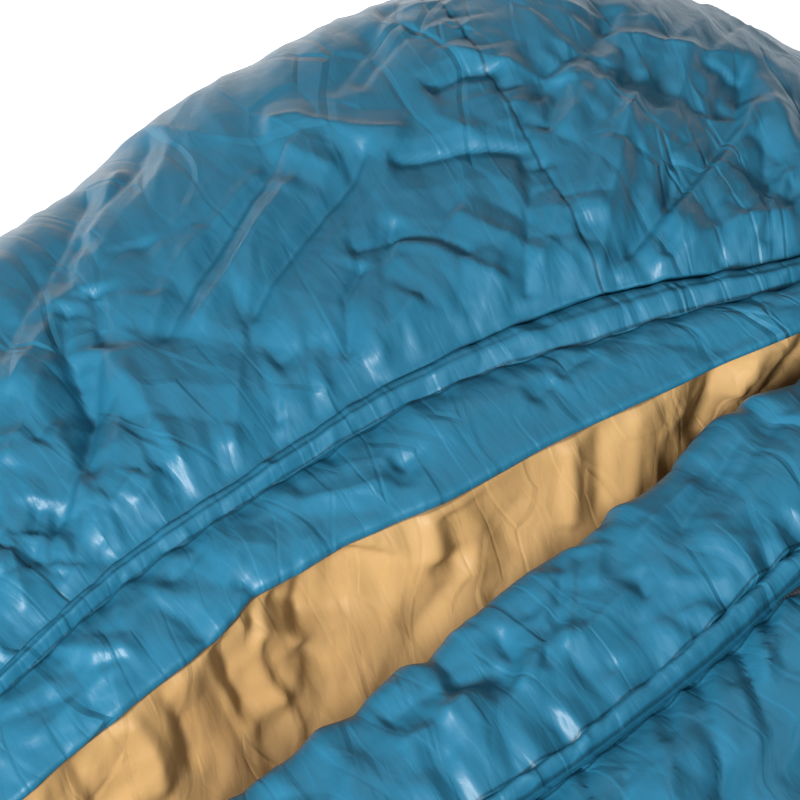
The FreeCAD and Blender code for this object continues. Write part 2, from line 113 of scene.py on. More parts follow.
def crown_trim(x):
    """The hood's crown is a little lower and shorter on its left."""
    return np.interp(x, [-266, -60, 20, 120, 266], [-9.0, -9.0, -5.0, 2.0, 3.0])


def hood_z(x, y):
    f, fb = hood_f(y)
    a = HOOD_HALF_W * f
    zt = CHEEK_Z + (HOOD_TOP - CHEEK_Z) * f
    zb = CHEEK_Z - CHEEK_Z * fb
    rb = np.minimum(CORNER, 0.45 * (zt - zb))
    zr = zb + rb
    t = 1 - np.clip(np.abs(x) / a, 0, 1) ** EXP
    return zr + (zt - zr) * t ** (1 / EXP)


def body_z(x, y):
    a, h = plan(y)
    t = 1 - np.clip(np.abs(x) / a, 0, 1) ** EXP
    return CORNER + (h - CORNER) * t ** (1 / EXP)


# ------------------------------------------------------------------------------------------------ grids
def unit(v):
    return v / np.maximum(np.linalg.norm(v, axis=-1, keepdims=True), 1e-9)


def normals(P):
    du = np.empty_like(P)
    dv = np.empty_like(P)
    du[1:-1] = P[2:] - P[:-2]
    du[0], du[-1] = P[1] - P[0], P[-1] - P[-2]
    dv[:, 1:-1] = P[:, 2:] - P[:, :-2]
    dv[:, 0], dv[:, -1] = P[:, 1] - P[:, 0], P[:, -1] - P[:, -2]
    return unit(np.cross(du, dv))


def resample(line, n):
    """n points at even spacing along a polyline. Its first three columns are the place."""
    d = np.r_[0, np.cumsum(np.linalg.norm(np.diff(line[:, :3], axis=0), axis=1))]
    t = np.linspace(0, d[-1], n)
    return np.stack([np.interp(t, d, line[:, k]) for k in range(line.shape[1])], 1)


def noise(nu, nv, cu, cv, seed):
    """Smooth random field, about cu by cv bumps over the grid, from -1 to 1."""
    r = np.random.default_rng(seed)
    cu, cv = max(int(cu), 2), max(int(cv), 2)
    g = r.uniform(-1, 1, (cu + 3, cv + 3))

    def spline(g, n):
        m = g.shape[0] - 3
        t = np.linspace(0, m - 1e-6, n)
        i = t.astype(int)
        f = (t - i)[:, None]
        a, b, c, d = g[i], g[i + 1], g[i + 2], g[i + 3]
        return ((1 - f) ** 3 * a + (3 * f ** 3 - 6 * f ** 2 + 4) * b + (-3 * f ** 3 + 3 * f ** 2 + 3 * f + 1) * c + f ** 3 * d) / 6
    out = spline(spline(g, nu).T, nv).T
    return out / np.abs(out).max()


def blur(a, n=1):
    for _ in range(n):
        b = np.pad(a, 1, mode="edge")
        a = (b[:-2, 1:-1] + b[2:, 1:-1] + b[1:-1, :-2] + b[1:-1, 2:] + 2 * a) / 6
    return a


def _pull(A, B, rest, wa, wb, k):
    d = B - A
    L = np.sqrt(np.einsum("...i,...i", d, d))[..., None] + 1e-9
    c = d * (k * (L - rest) / L / np.maximum(wa + wb, 1e-6))
    A += wa * c
    B -= wb * c


CUTS = []


def drape(base, N, h, w, slack=0.002, steps=8, hold=0.15, press=0.02, side=5.0, bend=0.0, sweeps=2, damp=0.8, limit=2.5):
    """Position-based cloth. The cloth is cut to the folded shape base + h N, with some slack, then settles into its own creases."""
    f = np.float32
    P = (base + h[..., None] * N).astype(f)
    su = np.linalg.norm(np.diff(P, axis=0), axis=2)[..., None] * f(1 + slack)
    sv = np.linalg.norm(np.diff(P, axis=1), axis=2)[..., None] * f(1 + slack)
    d1 = np.linalg.norm(P[1:, 1:] - P[:-1, :-1], axis=2)[..., None] * f(1 + slack)
    d2 = np.linalg.norm(P[:-1, 1:] - P[1:, :-1], axis=2)[..., None] * f(1 + slack)
    bu, bv = su[:-1] + su[1:], sv[:, :-1] + sv[:, 1:]
    base, N, h, w = base.astype(f), N.astype(f), h.astype(f), w.astype(f)[..., None]
    prev = P.copy()
    for it in range(steps):
        vel = (P - prev) * f(damp)
        prev = P.copy()
        d = P - base
        now = np.einsum("...i,...i", d, N)
        P += w * (vel + (f(press) + f(hold) * (h - now))[..., None] * N)
        for _ in range(sweeps):
            for s in (0, 1):
                _pull(P[s:-1:2], P[s + 1::2], su[s::2], w[s:-1:2], w[s + 1::2], f(1.0))
                _pull(P[:, s:-1:2], P[:, s + 1::2], sv[:, s::2], w[:, s:-1:2], w[:, s + 1::2], f(1.0))
            for s in (0, 1):
                _pull(P[s:-1:2, :-1], P[s + 1::2, 1:], d1[s::2], w[s:-1:2, :-1], w[s + 1::2, 1:], f(0.4))
                _pull(P[s:-1:2, 1:], P[s + 1::2, :-1], d2[s::2], w[s:-1:2, 1:], w[s + 1::2, :-1], f(0.4))
            if bend:
                for s in range(4):
                    _pull(P[s:-2:4], P[s + 2::4], bu[s::4], w[s:-2:4], w[s + 2::4], f(bend))
                    _pull(P[:, s:-2:4], P[:, s + 2::4], bv[:, s::4], w[:, s:-2:4], w[:, s + 2::4], f(bend))
        d = P - base
        now = np.einsum("...i,...i", d, N)
        t = d - now[..., None] * N
        tl = np.sqrt(np.einsum("...i,...i", t, t))[..., None] + 1e-9
        P = base + np.clip(now, h - f(limit), h + f(limit))[..., None] * N + t * np.minimum(1, f(side) / tl)
    return 0.12 * P.astype(float) + 0.88 * (base + h[..., None] * N).astype(float)


def field(X, Y, lx, ly, angle, seed):
    """Smooth random field over any coordinates in mm, about lx long across and ly long along the given angle from Y, from about -1 to 1."""
    g = np.random.default_rng(seed).uniform(-1, 1, (64, 64))
    c, s = math.cos(angle), math.sin(angle)
    a, b = (X * c - Y * s) / lx + 20.3, (X * s + Y * c) / ly + 11.7
    ia, ib = np.floor(a).astype(int), np.floor(b).astype(int)
    fa, fb = a - ia, b - ib

    def ws(f):
        return ((1 - f) ** 3 / 6, (3 * f ** 3 - 6 * f ** 2 + 4) / 6, (-3 * f ** 3 + 3 * f ** 2 + 3 * f + 1) / 6, f ** 3 / 6)
    out = 0.0
    for i, wa in enumerate(ws(fa)):
        for j, wb in enumerate(ws(fb)):
            out = out + wa * wb * g[(ia + i) % 64, (ib + j) % 64]
    return out * 2.2


def facets(X, Y, layers, seed):
    """Flat-sided folds, as in crumpled cloth: each layer is (height, width, length, angle, ridges or valleys), a sheet of flat triangles on a bent lattice, creased again where it crosses zero."""
    h = 0.0
    for n, (A, lx, ly, ang, up) in enumerate(layers):
        g = np.random.default_rng(seed + 7 * n).uniform(-1, 1, (64, 64))
        c, s = math.cos(ang), math.sin(ang)
        a = (X * c - Y * s) / lx + 20.3 + 0.55 * field(X, Y, lx * 1.9, ly * 1.3, ang, seed + 7 * n + 2)
        b = (X * s + Y * c) / ly + 11.7 + 0.40 * field(X, Y, lx * 1.9, ly * 1.3, ang, seed + 7 * n + 4)
        a = a + 0.5 * b
        ia, ib = np.floor(a).astype(int), np.floor(b).astype(int)
        fa, fb = a - ia, b - ib
        g00, g10 = g[ia % 64, ib % 64], g[(ia + 1) % 64, ib % 64]
        g01, g11 = g[ia % 64, (ib + 1) % 64], g[(ia + 1) % 64, (ib + 1) % 64]
        f = np.where(fa + fb < 1, g00 + fa * (g10 - g00) + fb * (g01 - g00), g11 + (1 - fa) * (g01 - g11) + (1 - fb) * (g10 - g11))
        r = 0.36 - np.abs(f)
        h = h + 1.25 * A * (r if up else -r)
    return h


def cut(P):
    """Flat width and length in metres of the cloth a grid is made from, and its area."""
    w = np.linalg.norm(np.diff(P, axis=0), axis=2).sum(0)
    l = np.linalg.norm(np.diff(P, axis=1), axis=2).sum(1)
    a = 0.5 * np.linalg.norm(np.cross(P[1:, 1:] - P[:-1, :-1], P[:-1, 1:] - P[1:, :-1]), axis=2).sum()
    w, l, a = float(w.max()) / 1000, float(l.max()) / 1000, float(a) / 1e6
    CUTS.append((round(w, 3), round(l, 3), round(a, 3)))
    return (w, l), min(max(a, 0.301 * w * l), w * l)


def tuck(P, N, maps, v0=0.0, v1=0.0):
    """Turns the chosen edges of a grid down under the neighbouring piece, as a seam allowance."""
    for end, depth in ((0, v0), (1, v1)):
        if not depth:
            continue
        row, nrm = (P[:, :1], N[:, :1]) if end == 0 else (P[:, -1:], N[:, -1:])
        extra = [row - nrm * depth * q for q in (0.12, 0.55, 1.0)]
        if end == 0:
            P = np.concatenate(extra[::-1] + [P], 1)
            N = np.concatenate([nrm] * 3 + [N], 1)
            maps = [np.concatenate([m[:, :1] - 3, m[:, :1] - 2, m[:, :1] - 1, m], 1) for m in maps]
        else:
            P = np.concatenate([P] + extra, 1)
            N = np.concatenate([N] + [nrm] * 3, 1)
            maps = [np.concatenate([m, m[:, -1:] + 1, m[:, -1:] + 2, m[:, -1:] + 3], 1) for m in maps]
    return P, maps


def smoothstep(t):
    t = np.clip(t, 0, 1)
    return t * t * (3 - 2 * t)


def crease(h, X, Y, line, A, w1, w2, f0=0.25, f1=0.25):
    """Adds a sharp ridge (A > 0) or valley (A < 0) along a polyline, w1 wide on its left and w2 on its right, fading at both ends."""
    line = np.asarray(line, float)
    m = 4.5 * max(w1, w2)
    lo, hi = line.min(0) - m, line.max(0) + m
    k = (X > lo[0]) & (X < hi[0]) & (Y > lo[1]) & (Y < hi[1])
    if not k.any():
        return
    x, y = X[k], Y[k]
    best, side, par = np.full(x.shape, 1e9), np.zeros(x.shape), np.zeros(x.shape)
    seg = np.linalg.norm(np.diff(line, axis=0), axis=1)
    total, at = seg.sum(), 0.0
    for a, b, s in zip(line[:-1], line[1:], seg):
        d = (b - a) / s
        t = np.clip((x - a[0]) * d[0] + (y - a[1]) * d[1], 0, s)
        px, py = x - a[0] - t * d[0], y - a[1] - t * d[1]
        dist = np.hypot(px, py)
        n = dist < best
        best = np.where(n, dist, best)
        side = np.where(n, d[0] * py - d[1] * px, side)
        par = np.where(n, at + t, par)
        at += s
    w = np.where(side > 0, w1, w2)
    fade = smoothstep(par / max(f0 * total, 1e-3)) * smoothstep((total - par) / max(f1 * total, 1e-3))
    h[k] += A * (0.72 * np.clip(1 - best / (2.0 * w), 0, 1) + 0.28 * np.clip(1 - best / (0.6 * w), 0, 1)) * fade


def scatter(h, X, Y, n, seed, box, angle, spread=0.35, length=(25, 90), width=(2.5, 7), amp=(0.7, 2.2), valleys=0.55, where=None):
    """Many random creases over box = (x0, x1, y0, y1). angle is a direction or a function of x and y."""
    r = np.random.default_rng(seed)
    for _ in range(n):
        x0, y0 = r.uniform(box[0], box[1]), r.uniform(box[2], box[3])
        a = (angle(x0, y0) if callable(angle) else angle) + r.normal(0, spread)
        L, c = r.uniform(*length), r.normal(0, 0.16)
        d, e = np.array([math.cos(a), math.sin(a)]), np.array([-math.sin(a), math.cos(a)])
        line = [np.array([x0, y0]) + L * ((t - 0.5) * d + c * (0.25 - (t - 0.5) ** 2) * 4 * e) for t in (0, 0.33, 0.67, 1)]
        A = r.uniform(*amp) * (-1 if r.random() < valleys else 1) * (1 if where is None else where(x0, y0))
        if abs(A) > 0.15:
            crease(h, X, Y, line, A, r.uniform(*width), r.uniform(*width), 0.4, 0.4)


def gathers(h, U, V, seed, u0, u1, v0=0.0, way=1, pitch=(7, 12), length=(20, 60), amp=(0.8, 2.2), width=(2, 3.6), spread=0.22, lean=0.0, power=None):
    """Puckers that start on the seam V = v0 and run away from it."""
    r = np.random.default_rng(seed)
    u, k = u0, 0
    while u < u1:
        u += r.uniform(*pitch)
        L = r.uniform(*length) * (1.0 if r.random() < 0.7 else 1.5)
        a = lean + r.normal(0, spread)
        b = a + r.normal(0, 0.22)
        p0 = np.array([u, v0 - way * 1.0])
        p1 = p0 + 0.5 * L * np.array([math.sin(a), way * math.cos(a)])
        p2 = p1 + 0.5 * L * np.array([math.sin(b), way * math.cos(b)])
        A = r.uniform(*amp) * (1 if k % 2 else -1) * (power(u) if power else 1)
        crease(h, U, V, [p0, p1, p2], A, r.uniform(*width), r.uniform(*width), 0.03, 0.75)
        k += 1


def n4(length, cell):
    """A number of points, 4k + 1, for cells of about this size."""
    return max(4 * int(round(length / cell / 4)), 4) + 1


def mesh(name, P, uv=None, extra=None, closed=False, subdiv=1, flip=False, material=None):
    """An object from a grid of points in mm. uv in mm goes to an attribute for the weave and stitches."""
    nu, nv = P.shape[:2]
    me = bpy.data.meshes.new(name)
    i = np.arange(nu * nv).reshape(nu, nv)
    if closed:
        i = np.vstack([i, i[:1]])
    a, b, c, d = i[:-1, :-1], i[1:, :-1], i[1:, 1:], i[:-1, 1:]
    q = np.stack([a, b, c, d] if not flip else [a, d, c, b], -1).reshape(-1, 4)
    me.vertices.add(nu * nv)
    me.vertices.foreach_set("co", (P.reshape(-1, 3) * 0.001).astype(np.float32).ravel())
    me.loops.add(len(q) * 4)
    me.loops.foreach_set("vertex_index", q.ravel().astype(np.int32))
    me.polygons.add(len(q))
    me.polygons.foreach_set("loop_start", (np.arange(len(q)) * 4).astype(np.int32))
    me.polygons.foreach_set("loop_total", np.full(len(q), 4, np.int32))
    me.polygons.foreach_set("use_smooth", np.ones(len(q), bool))
    me.update()
    me.validate()
    if uv is None:
        su = np.r_[0, np.cumsum(np.linalg.norm(np.diff(P[:, nv // 2], axis=0), axis=1))]
        sv = np.r_[0, np.cumsum(np.linalg.norm(np.diff(P[nu // 2], axis=0), axis=1))]
        uv = np.stack(np.broadcast_arrays(su[:, None], sv[None]), -1)
    at = me.attributes.new("cloth", "FLOAT_VECTOR", "POINT")
    third = np.zeros((nu, nv)) + 99.0 if extra is None else extra
    at.data.foreach_set("vector", np.dstack([uv, third]).astype(np.float32).reshape(-1))
    ob = bpy.data.objects.new(name, me)
    bpy.context.scene.collection.objects.link(ob)
    if subdiv:
        m = ob.modifiers.new("smooth", "SUBSURF")
        m.levels = m.render_levels = subdiv
    if material:
        me.materials.append(material)
    return ob


# ------------------------------------------------------------------------------------------------ materials
def new_material(name):
    m = bpy.data.materials.new(name)
    m.use_nodes = True
    t = m.node_tree
    b = t.nodes["Principled BSDF"]
    return m, t, b


def node(t, kind, **kw):
    n = t.nodes.new(kind)
    for k, v in kw.items():
        if k.startswith("i_"):
            key = k[2:]
            n.inputs[int(key) if key.isdigit() else key.replace("_", " ")].default_value = v
        else:
            setattr(n, k, v)
    return n


def math_node(t, op, a, b=None, c=None, clamp=False):
    n = t.nodes.new("ShaderNodeMath")
    n.operation = op
    n.use_clamp = clamp
    for i, v in enumerate((a, b, c)):
        if v is None:
            continue
        if isinstance(v, (int, float)):
            n.inputs[i].default_value = v
        else:
            t.links.new(v, n.inputs[i])
    return n.outputs[0]


def ramp(t, fac, stops):
    n = t.nodes.new("ShaderNodeValToRGB")
    e = n.color_ramp.elements
    while len(e) < len(stops):
        e.new(0.5)
    for el, (p, c) in zip(e, stops):
        el.position = p
        el.color = tuple(c) + (1,) if len(c) == 3 else c
    t.links.new(fac, n.inputs[0])
    return n.outputs[0]


def taffeta(name, dark, mid, light, rough=0.42, crumple=0.5, weave=0.12, sheen=0.0, seams=True, scale=1.0):
    """Thin woven nylon: fine weave, soft crumple at two scales, slightly uneven colour, stitches where the cloth
    coordinate says, and painted shade darkening the seam lines.
    """
    m, t, b = new_material(name)
    at = node(t, "ShaderNodeAttribute", attribute_name="cloth")
    geo = node(t, "ShaderNodeTexCoord")
    sep = node(t, "ShaderNodeSeparateXYZ")
    t.links.new(at.outputs["Vector"], sep.inputs[0])
    obj = geo.outputs["Object"]
    # uneven dye and wear
    n1 = node(t, "ShaderNodeTexNoise", i_Scale=9.0 * scale, i_Detail=5.0, i_Roughness=0.6)
    t.links.new(obj, n1.inputs["Vector"])
    col = ramp(t, n1.outputs["Fac"], [(0.30, dark), (0.5, mid), (0.72, light)])
    # crumple: fine sharp creases where a warped noise crosses its middle
    n2 = node(t, "ShaderNodeTexNoise", i_Scale=55.0 * scale, i_Detail=5.0, i_Roughness=0.6)
    t.links.new(obj, n2.inputs["Vector"])
    hgt = math_node(t, "MULTIPLY", n2.outputs["Fac"], 0.25)
    fold = node(t, "ShaderNodeMapping")
    fold.inputs["Rotation"].default_value = (0, 0, 0.35)
    fold.inputs["Scale"].default_value = (1.0, 0.3, 0.0)
    t.links.new(at.outputs["Vector"], fold.inputs[0])
    for sc, det, dist, amp in ((0.045, 1.0, 0.7, 0.7), (0.10, 1.0, 0.6, 0.4), (0.22, 1.0, 0.5, 0.2)):
        nn = node(t, "ShaderNodeTexNoise", i_Scale=sc * scale, i_Detail=det, i_Distortion=dist)
        t.links.new(fold.outputs[0], nn.inputs["Vector"])
        r = math_node(t, "ABSOLUTE", math_node(t, "SUBTRACT", nn.outputs["Fac"], 0.5))
        r = math_node(t, "MINIMUM", math_node(t, "MULTIPLY", r, 3.0), 0.5)
        hgt = math_node(t, "ADD", hgt, math_node(t, "MULTIPLY", r, amp))
    # flat facets between straight creases, in cells of a bent and stretched lattice
    warp = node(t, "ShaderNodeTexNoise", i_Scale=0.012 * scale, i_Detail=1.0)
    t.links.new(at.outputs["Vector"], warp.inputs["Vector"])
    mask = math_node(t, "MULTIPLY", math_node(t, "SUBTRACT", n1.outputs["Fac"], 0.30), 3.0, clamp=True)
    for rot, cx, cy, tilt, groove in ((0.55, 24.0, 80.0, 2.6, 0.55), (-0.35, 13.0, 46.0, 1.3, 0.40)):
        mp = node(t, "ShaderNodeMapping")
        mp.inputs["Rotation"].default_value = (0, 0, rot)
        mp.inputs["Scale"].default_value = (1 / cx, 1 / cy, 0.0)
        t.links.new(at.outputs["Vector"], mp.inputs[0])
        off = node(t, "ShaderNodeVectorMath", operation="SCALE")
        t.links.new(warp.outputs["Color"], off.inputs[0])
        off.inputs["Scale"].default_value = 1.6
        pos = node(t, "ShaderNodeVectorMath", operation="ADD")
        t.links.new(mp.outputs[0], pos.inputs[0])
        t.links.new(off.outputs[0], pos.inputs[1])
        cell = node(t, "ShaderNodeTexVoronoi", voronoi_dimensions="2D", feature="F1")
        edge = node(t, "ShaderNodeTexVoronoi", voronoi_dimensions="2D", feature="DISTANCE_TO_EDGE")
        for q in (cell, edge):
            q.inputs["Scale"].default_value = 1.0
            t.links.new(pos.outputs[0], q.inputs["Vector"])
        arm = node(t, "ShaderNodeVectorMath", operation="SUBTRACT")
        t.links.new(pos.outputs[0], arm.inputs[0])
        t.links.new(cell.outputs["Position"], arm.inputs[1])
        way = node(t, "ShaderNodeVectorMath", operation="SUBTRACT")
        t.links.new(cell.outputs["Color"], way.inputs[0])
        way.inputs[1].default_value = (0.5, 0.5, 0.5)
        dot = node(t, "ShaderNodeVectorMath", operation="DOT_PRODUCT")
        t.links.new(arm.outputs[0], dot.inputs[0])
        t.links.new(way.outputs[0], dot.inputs[1])
        inside = math_node(t, "DIVIDE", edge.outputs["Distance"], 0.07, clamp=True)
        flat_h = math_node(t, "MULTIPLY", math_node(t, "MULTIPLY", dot.outputs["Value"], inside), tilt)
        cut_h = math_node(t, "MULTIPLY", inside, groove)
        hgt = math_node(t, "ADD", hgt, math_node(t, "MULTIPLY", math_node(t, "ADD", flat_h, cut_h), mask))
    # weave, 0.25 mm threads
    wu = math_node(t, "SINE", math_node(t, "MULTIPLY", sep.outputs[0], 2 * math.pi / 0.5))
    wv = math_node(t, "SINE", math_node(t, "MULTIPLY", sep.outputs[1], 2 * math.pi / 0.5))
    wv2 = math_node(t, "MULTIPLY", wu, wv)
    # stitches and painted seam shade: third coordinate is the distance to the nearest seam, in mm
    if seams:
        dist = math_node(t, "ABSOLUTE", sep.outputs[2])
        along = math_node(t, "ADD", sep.outputs[0], sep.outputs[1])
        dash = math_node(t, "GREATER_THAN", math_node(t, "SINE", math_node(t, "MULTIPLY", along, 2 * math.pi / 3.0)), -0.45)
        line = math_node(t, "SUBTRACT", 1.0, math_node(t, "DIVIDE", dist, 0.7, clamp=True))
        line = math_node(t, "POWER", line, 0.6)
        thread = math_node(t, "MULTIPLY", math_node(t, "LESS_THAN", dist, 0.3), dash)
        near = math_node(t, "SUBTRACT", 1.0, math_node(t, "DIVIDE", dist, 4.0, clamp=True))
        # painted shade: within 0.7 mm of a seam the colour is darkened towards a quarter of the dark tone, standing in
        # for the shade in the seam groove
        seam_shade_mix = node(t, "ShaderNodeMix", data_type="RGBA")
        t.links.new(math_node(t, "MULTIPLY", line, 0.72), seam_shade_mix.inputs[0])
        t.links.new(col, seam_shade_mix.inputs[6])
        seam_shade_mix.inputs[7].default_value = tuple(x * 0.25 for x in dark) + (1,)
        col = seam_shade_mix.outputs[2]
        hgt = math_node(t, "ADD", hgt, math_node(t, "MULTIPLY", line, -0.15))
        hgt = math_node(t, "ADD", hgt, math_node(t, "MULTIPLY", thread, 0.9))
    t.links.new(col, b.inputs["Base Color"])
    bump = node(t, "ShaderNodeBump", i_Strength=crumple, i_Distance=0.0012)
    t.links.new(hgt, bump.inputs["Height"])
    fine = node(t, "ShaderNodeBump", i_Strength=weave, i_Distance=0.00012)
    t.links.new(wv2, fine.inputs["Height"])
    t.links.new(bump.outputs[0], fine.inputs["Normal"])
    t.links.new(fine.outputs[0], b.inputs["Normal"])
    rr = math_node(t, "ADD", rough - 0.06, math_node(t, "MULTIPLY", n2.outputs["Fac"], 0.12))
    t.links.new(rr, b.inputs["Roughness"])
    b.inputs["Specular IOR Level"].default_value = 0.32
    if sheen:
        b.inputs["Sheen Weight"].default_value = sheen
        b.inputs["Sheen Roughness"].default_value = 0.5
    return m


BLUE = taffeta("shell_nylon", (0.0110, 0.100, 0.172), (0.0135, 0.119, 0.202), (0.0160, 0.136, 0.228), rough=0.41, crumple=0.5)
GOLD = taffeta("lining_nylon", (0.29, 0.168, 0.064), (0.365, 0.224, 0.090), (0.425, 0.270, 0.118), rough=0.45, crumple=0.36)
tick("setup")

# ------------------------------------------------------------------------------------------------ design lines of the hood and neck
# distance along Y from the cheek line, at each x; the lines meet the cheeks at the sides
XS = [-266, -225, -163, -111, -77, -59, -43, -20, 0, 15, 54, 78, 106, 124, 143, 170, 225, 266]
HOOD_EDGE = [1, 20, 34, 37.7, 39.8, 45.5, 44.5, 43.5, 40.0, 36.8, 35, 32.5, 29.2, 28.4, 26.3, 24.5, 15, 1]
XL = [-266, -225, -170, -122, -92, -73, -51, -15, 2, 23, 44, 62, 75, 89, 107, 120, 131, 163, 215, 266]
HOOD_L1 = [38, 52, 66, 73.5, 77.3, 77.8, 78.2, 78.3, 78.6, 77.4, 74.2, 70.8, 67.0, 62.0, 58.2, 55.6, 52.7, 44, 38, 34]
XU = [-266, -225, -180, -139, -121, -103, -85, -67, -31, 8, 24, 48, 66, 81, 96, 107, 122, 136, 157, 169, 215, 266]
HOOD_L2 = [48, 60, 71, 79.2, 82.4, 85.3, 88.0, 88.7, 88.8, 89.6, 89.4, 86.2, 84.2, 81.4, 79.2, 76.3, 70.8, 65.8, 58.2, 54.6, 50, 46]
XN = [-266, -200, -110, -88, -67, -41, -14, 16, 50, 73, 92, 108, 128, 143, 200, 266]
NECK_EDGE = [-1, -9, -12.3, -12.4, -10.8, -7.0, -4.6, -1.2, -0.8, 0.2, 5.0, 8.8, 11.2, 12.0, 7, -1]
XC = [-300, -200, -100, -52, -35, -19, -3, 12, 32, 49, 68, 87, 105, 150, 220, 300]
NECK_N1 = [-53, -58, -60.2, -60.6, -61.2, -61.3, -60.4, -57.8, -55.8, -53.4, -49.4, -45.4, -41.5, -38, -44, -53]
XD = [-300, -200, -100, -38, -24, 0, 23, 50, 63, 93, 150, 220, 300]
NECK_N2 = [-66, -69, -70.5, -69.6, -69.2, -68.2, -65.8, -62.6, -60.2, -53.4, -49, -55, -66]


def smooth_interp(xs, ys, soft=6.0):
    x = np.linspace(-310, 310, 621)
    y = np.interp(x, xs, ys)
    k = np.exp(-0.5 * (np.arange(-24, 25) / soft) ** 2)
    y = np.convolve(np.pad(y, 24, mode="edge"), k / k.sum(), "valid")
    return lambda q: np.interp(q, x, y)


def surf(theta, y, kind):
    """A point of the crowned part of the hood or the body, at angle theta and y."""
    c, s = np.cos(theta), np.sin(theta)
    ce = np.sign(c) * np.abs(c) ** (2 / EXP)
    se = np.abs(s) ** (2 / EXP)
    if kind == "hood":
        f, fb = hood_f(y)
        a, zt, zb = HOOD_HALF_W * f, CHEEK_Z + (HOOD_TOP - CHEEK_Z) * f, CHEEK_Z - CHEEK_Z * fb
        zr = zb + np.minimum(CORNER, 0.45 * (zt - zb))
    else:
        a, zt = plan(y)
        zr = CORNER + 0 * a
    return np.stack([ce * a, y, zr + (zt - zr) * se], -1)


def surface_line(fy, kind, zmin=CHEEK_Z + 1.0, n=2401):
    """The line y = NY + fy(x) on a surface, left to right, as columns x, y, z, theta, down to zmin at both ends."""
    th = np.linspace(math.pi, 0, n)
    x = surf(th, np.full(n, NY - 20.0), kind)[:, 0]
    for _ in range(6):
        y = NY + fy(x)
        p = surf(th, y, kind)
        x = p[:, 0]
    return np.column_stack([p, th])[p[:, 2] >= zmin]


hood_edge = surface_line(smooth_interp(XS, HOOD_EDGE), "hood")
hood_l1 = surface_line(smooth_interp(XL, HOOD_L1), "hood")
hood_l2 = surface_line(smooth_interp(XU, HOOD_L2), "hood")
neck_edge = surface_line(smooth_interp(XN, NECK_EDGE), "body")
neck_n1 = surface_line(smooth_interp(XC, NECK_N1), "body")
neck_n2 = surface_line(smooth_interp(XD, NECK_N2), "body")


def strip(A, B, nu, nv, kind):
    """Grid on a surface between two of its lines."""
    a, b = resample(A, nu), resample(B, nu)
    t = np.linspace(0, 1, nv)[None]
    th = a[:, 3:4] * (1 - t) + b[:, 3:4] * t
    y = a[:, 1:2] * (1 - t) + b[:, 1:2] * t
    return surf(th, y, kind)


def upward(P, N, out=None):
    """Normals turned to point away from the quilt's inside, and whether the faces need turning."""
    d = P - (np.array([0.0, 0.0, 70.0]) * np.array([1, 0, 1]) + P * np.array([0, 1, 0])) if out is None else out
    flip = float((N * d).sum()) < 0
    return (-N if flip else N), flip


def edge_weights(nu, nv, u0=1, u1=1, v0=1, v1=1):
    w = np.ones((nu, nv))
    if u0:
        w[:u0] = 0
    if u1:
        w[-u1:] = 0
    if v0:
        w[:, :v0] = 0
    if v1:
        w[:, -v1:] = 0
    return w


# ------------------------------------------------------------------------------------------------ hood dome
CELL = 1.35
NU = n4(640, CELL)


def piecewise(line, marks, n_of):
    """Points along a line so that the given marks, as shares of its length, fall on the given indices."""
    d = np.r_[0, np.cumsum(np.linalg.norm(np.diff(line[:, :3], axis=0), axis=1))]
    t = np.interp(np.arange(n_of[-1] + 1), n_of, np.array(marks) * d[-1])
    return np.stack([np.interp(t, d, line[:, k]) for k in range(3)], 1)


def share_at_x(line, x):
    d = np.r_[0, np.cumsum(np.linalg.norm(np.diff(line[:, :3], axis=0), axis=1))]
    order = np.argsort(line[:, 0])
    return float(np.interp(x, line[order, 0], d[order]) / d[-1])


# the outline: the hood's widest line in plan, from the left cheek round the crown to the right cheek
q = np.linspace(0, 1, 1500)
sy = np.r_[q ** 0.8, q[::-1][1:] ** 0.8]
side = np.r_[-np.ones(1500), np.ones(1499)]
yl = NY + 50 + (HOOD_D - 50) * sy
fo, fbo = hood_f(yl)
zbo = CHEEK_Z - CHEEK_Z * fbo
zto = CHEEK_Z + (HOOD_TOP - CHEEK_Z) * fo
zo = zbo + np.minimum(CORNER, 0.45 * (zto - zbo))
outline = np.stack([side * HOOD_HALF_W * fo, yl + crown_trim(side * HOOD_HALF_W * fo) * np.clip((yl - NY - 60) / 120, 0, 1), zo, zbo], 1)
i_sl, i_mid, i_sr = int(NU * 0.335), NU // 2, int(NU * 0.665)
R = piecewise(hood_l2, [0, share_at_x(hood_l2, -106), share_at_x(hood_l2, 0), share_at_x(hood_l2, 108), 1], [0, i_sl, i_mid, i_sr, NU - 1])
so = share_at_x(outline[:1500], -157) * 0.5
O = piecewise(outline, [0, so, 0.5, 1 - so, 1], [0, i_sl, i_mid, i_sr, NU - 1])
NV = n4(262, CELL)
top = np.empty((NU, NV, 3))
k = 1 - (1 - np.linspace(0, 1, 170)) ** 1.8      # more samples where the surface turns down
for i in range(NU):
    x = R[i, 0] + (O[i, 0] - R[i, 0]) * k
    y = R[i, 1] + (O[i, 1] - R[i, 1]) * k
    trim = crown_trim(x) * np.clip((y - NY - 60) / 120, 0, 1)
    z = hood_z(x, y - trim) + 0.35 * trim
    z[0], z[-1] = R[i, 2], O[i, 2]
    top[i] = resample(np.stack([x, y, z], 1), NV)
tick("hood base")
Ntop, flip = upward(top, normals(top), top - np.array([0, NY + 60, 40]))
Ntop = unit(np.dstack([blur(Ntop[:, :, c], 4) for c in range(3)]))
FLIP_DOME = flip
U = np.linspace(0, 640, NU)[:, None] + np.zeros((NU, NV))
V = np.r_[0, np.cumsum(np.linalg.norm(np.diff(top[i_mid], axis=0), axis=1))][None] + np.zeros((NU, NV))
X, Y = top[:, :, 0], top[:, :, 1] - NY
u_sl, u_sr = U[i_sl, 0], U[i_sr, 0]
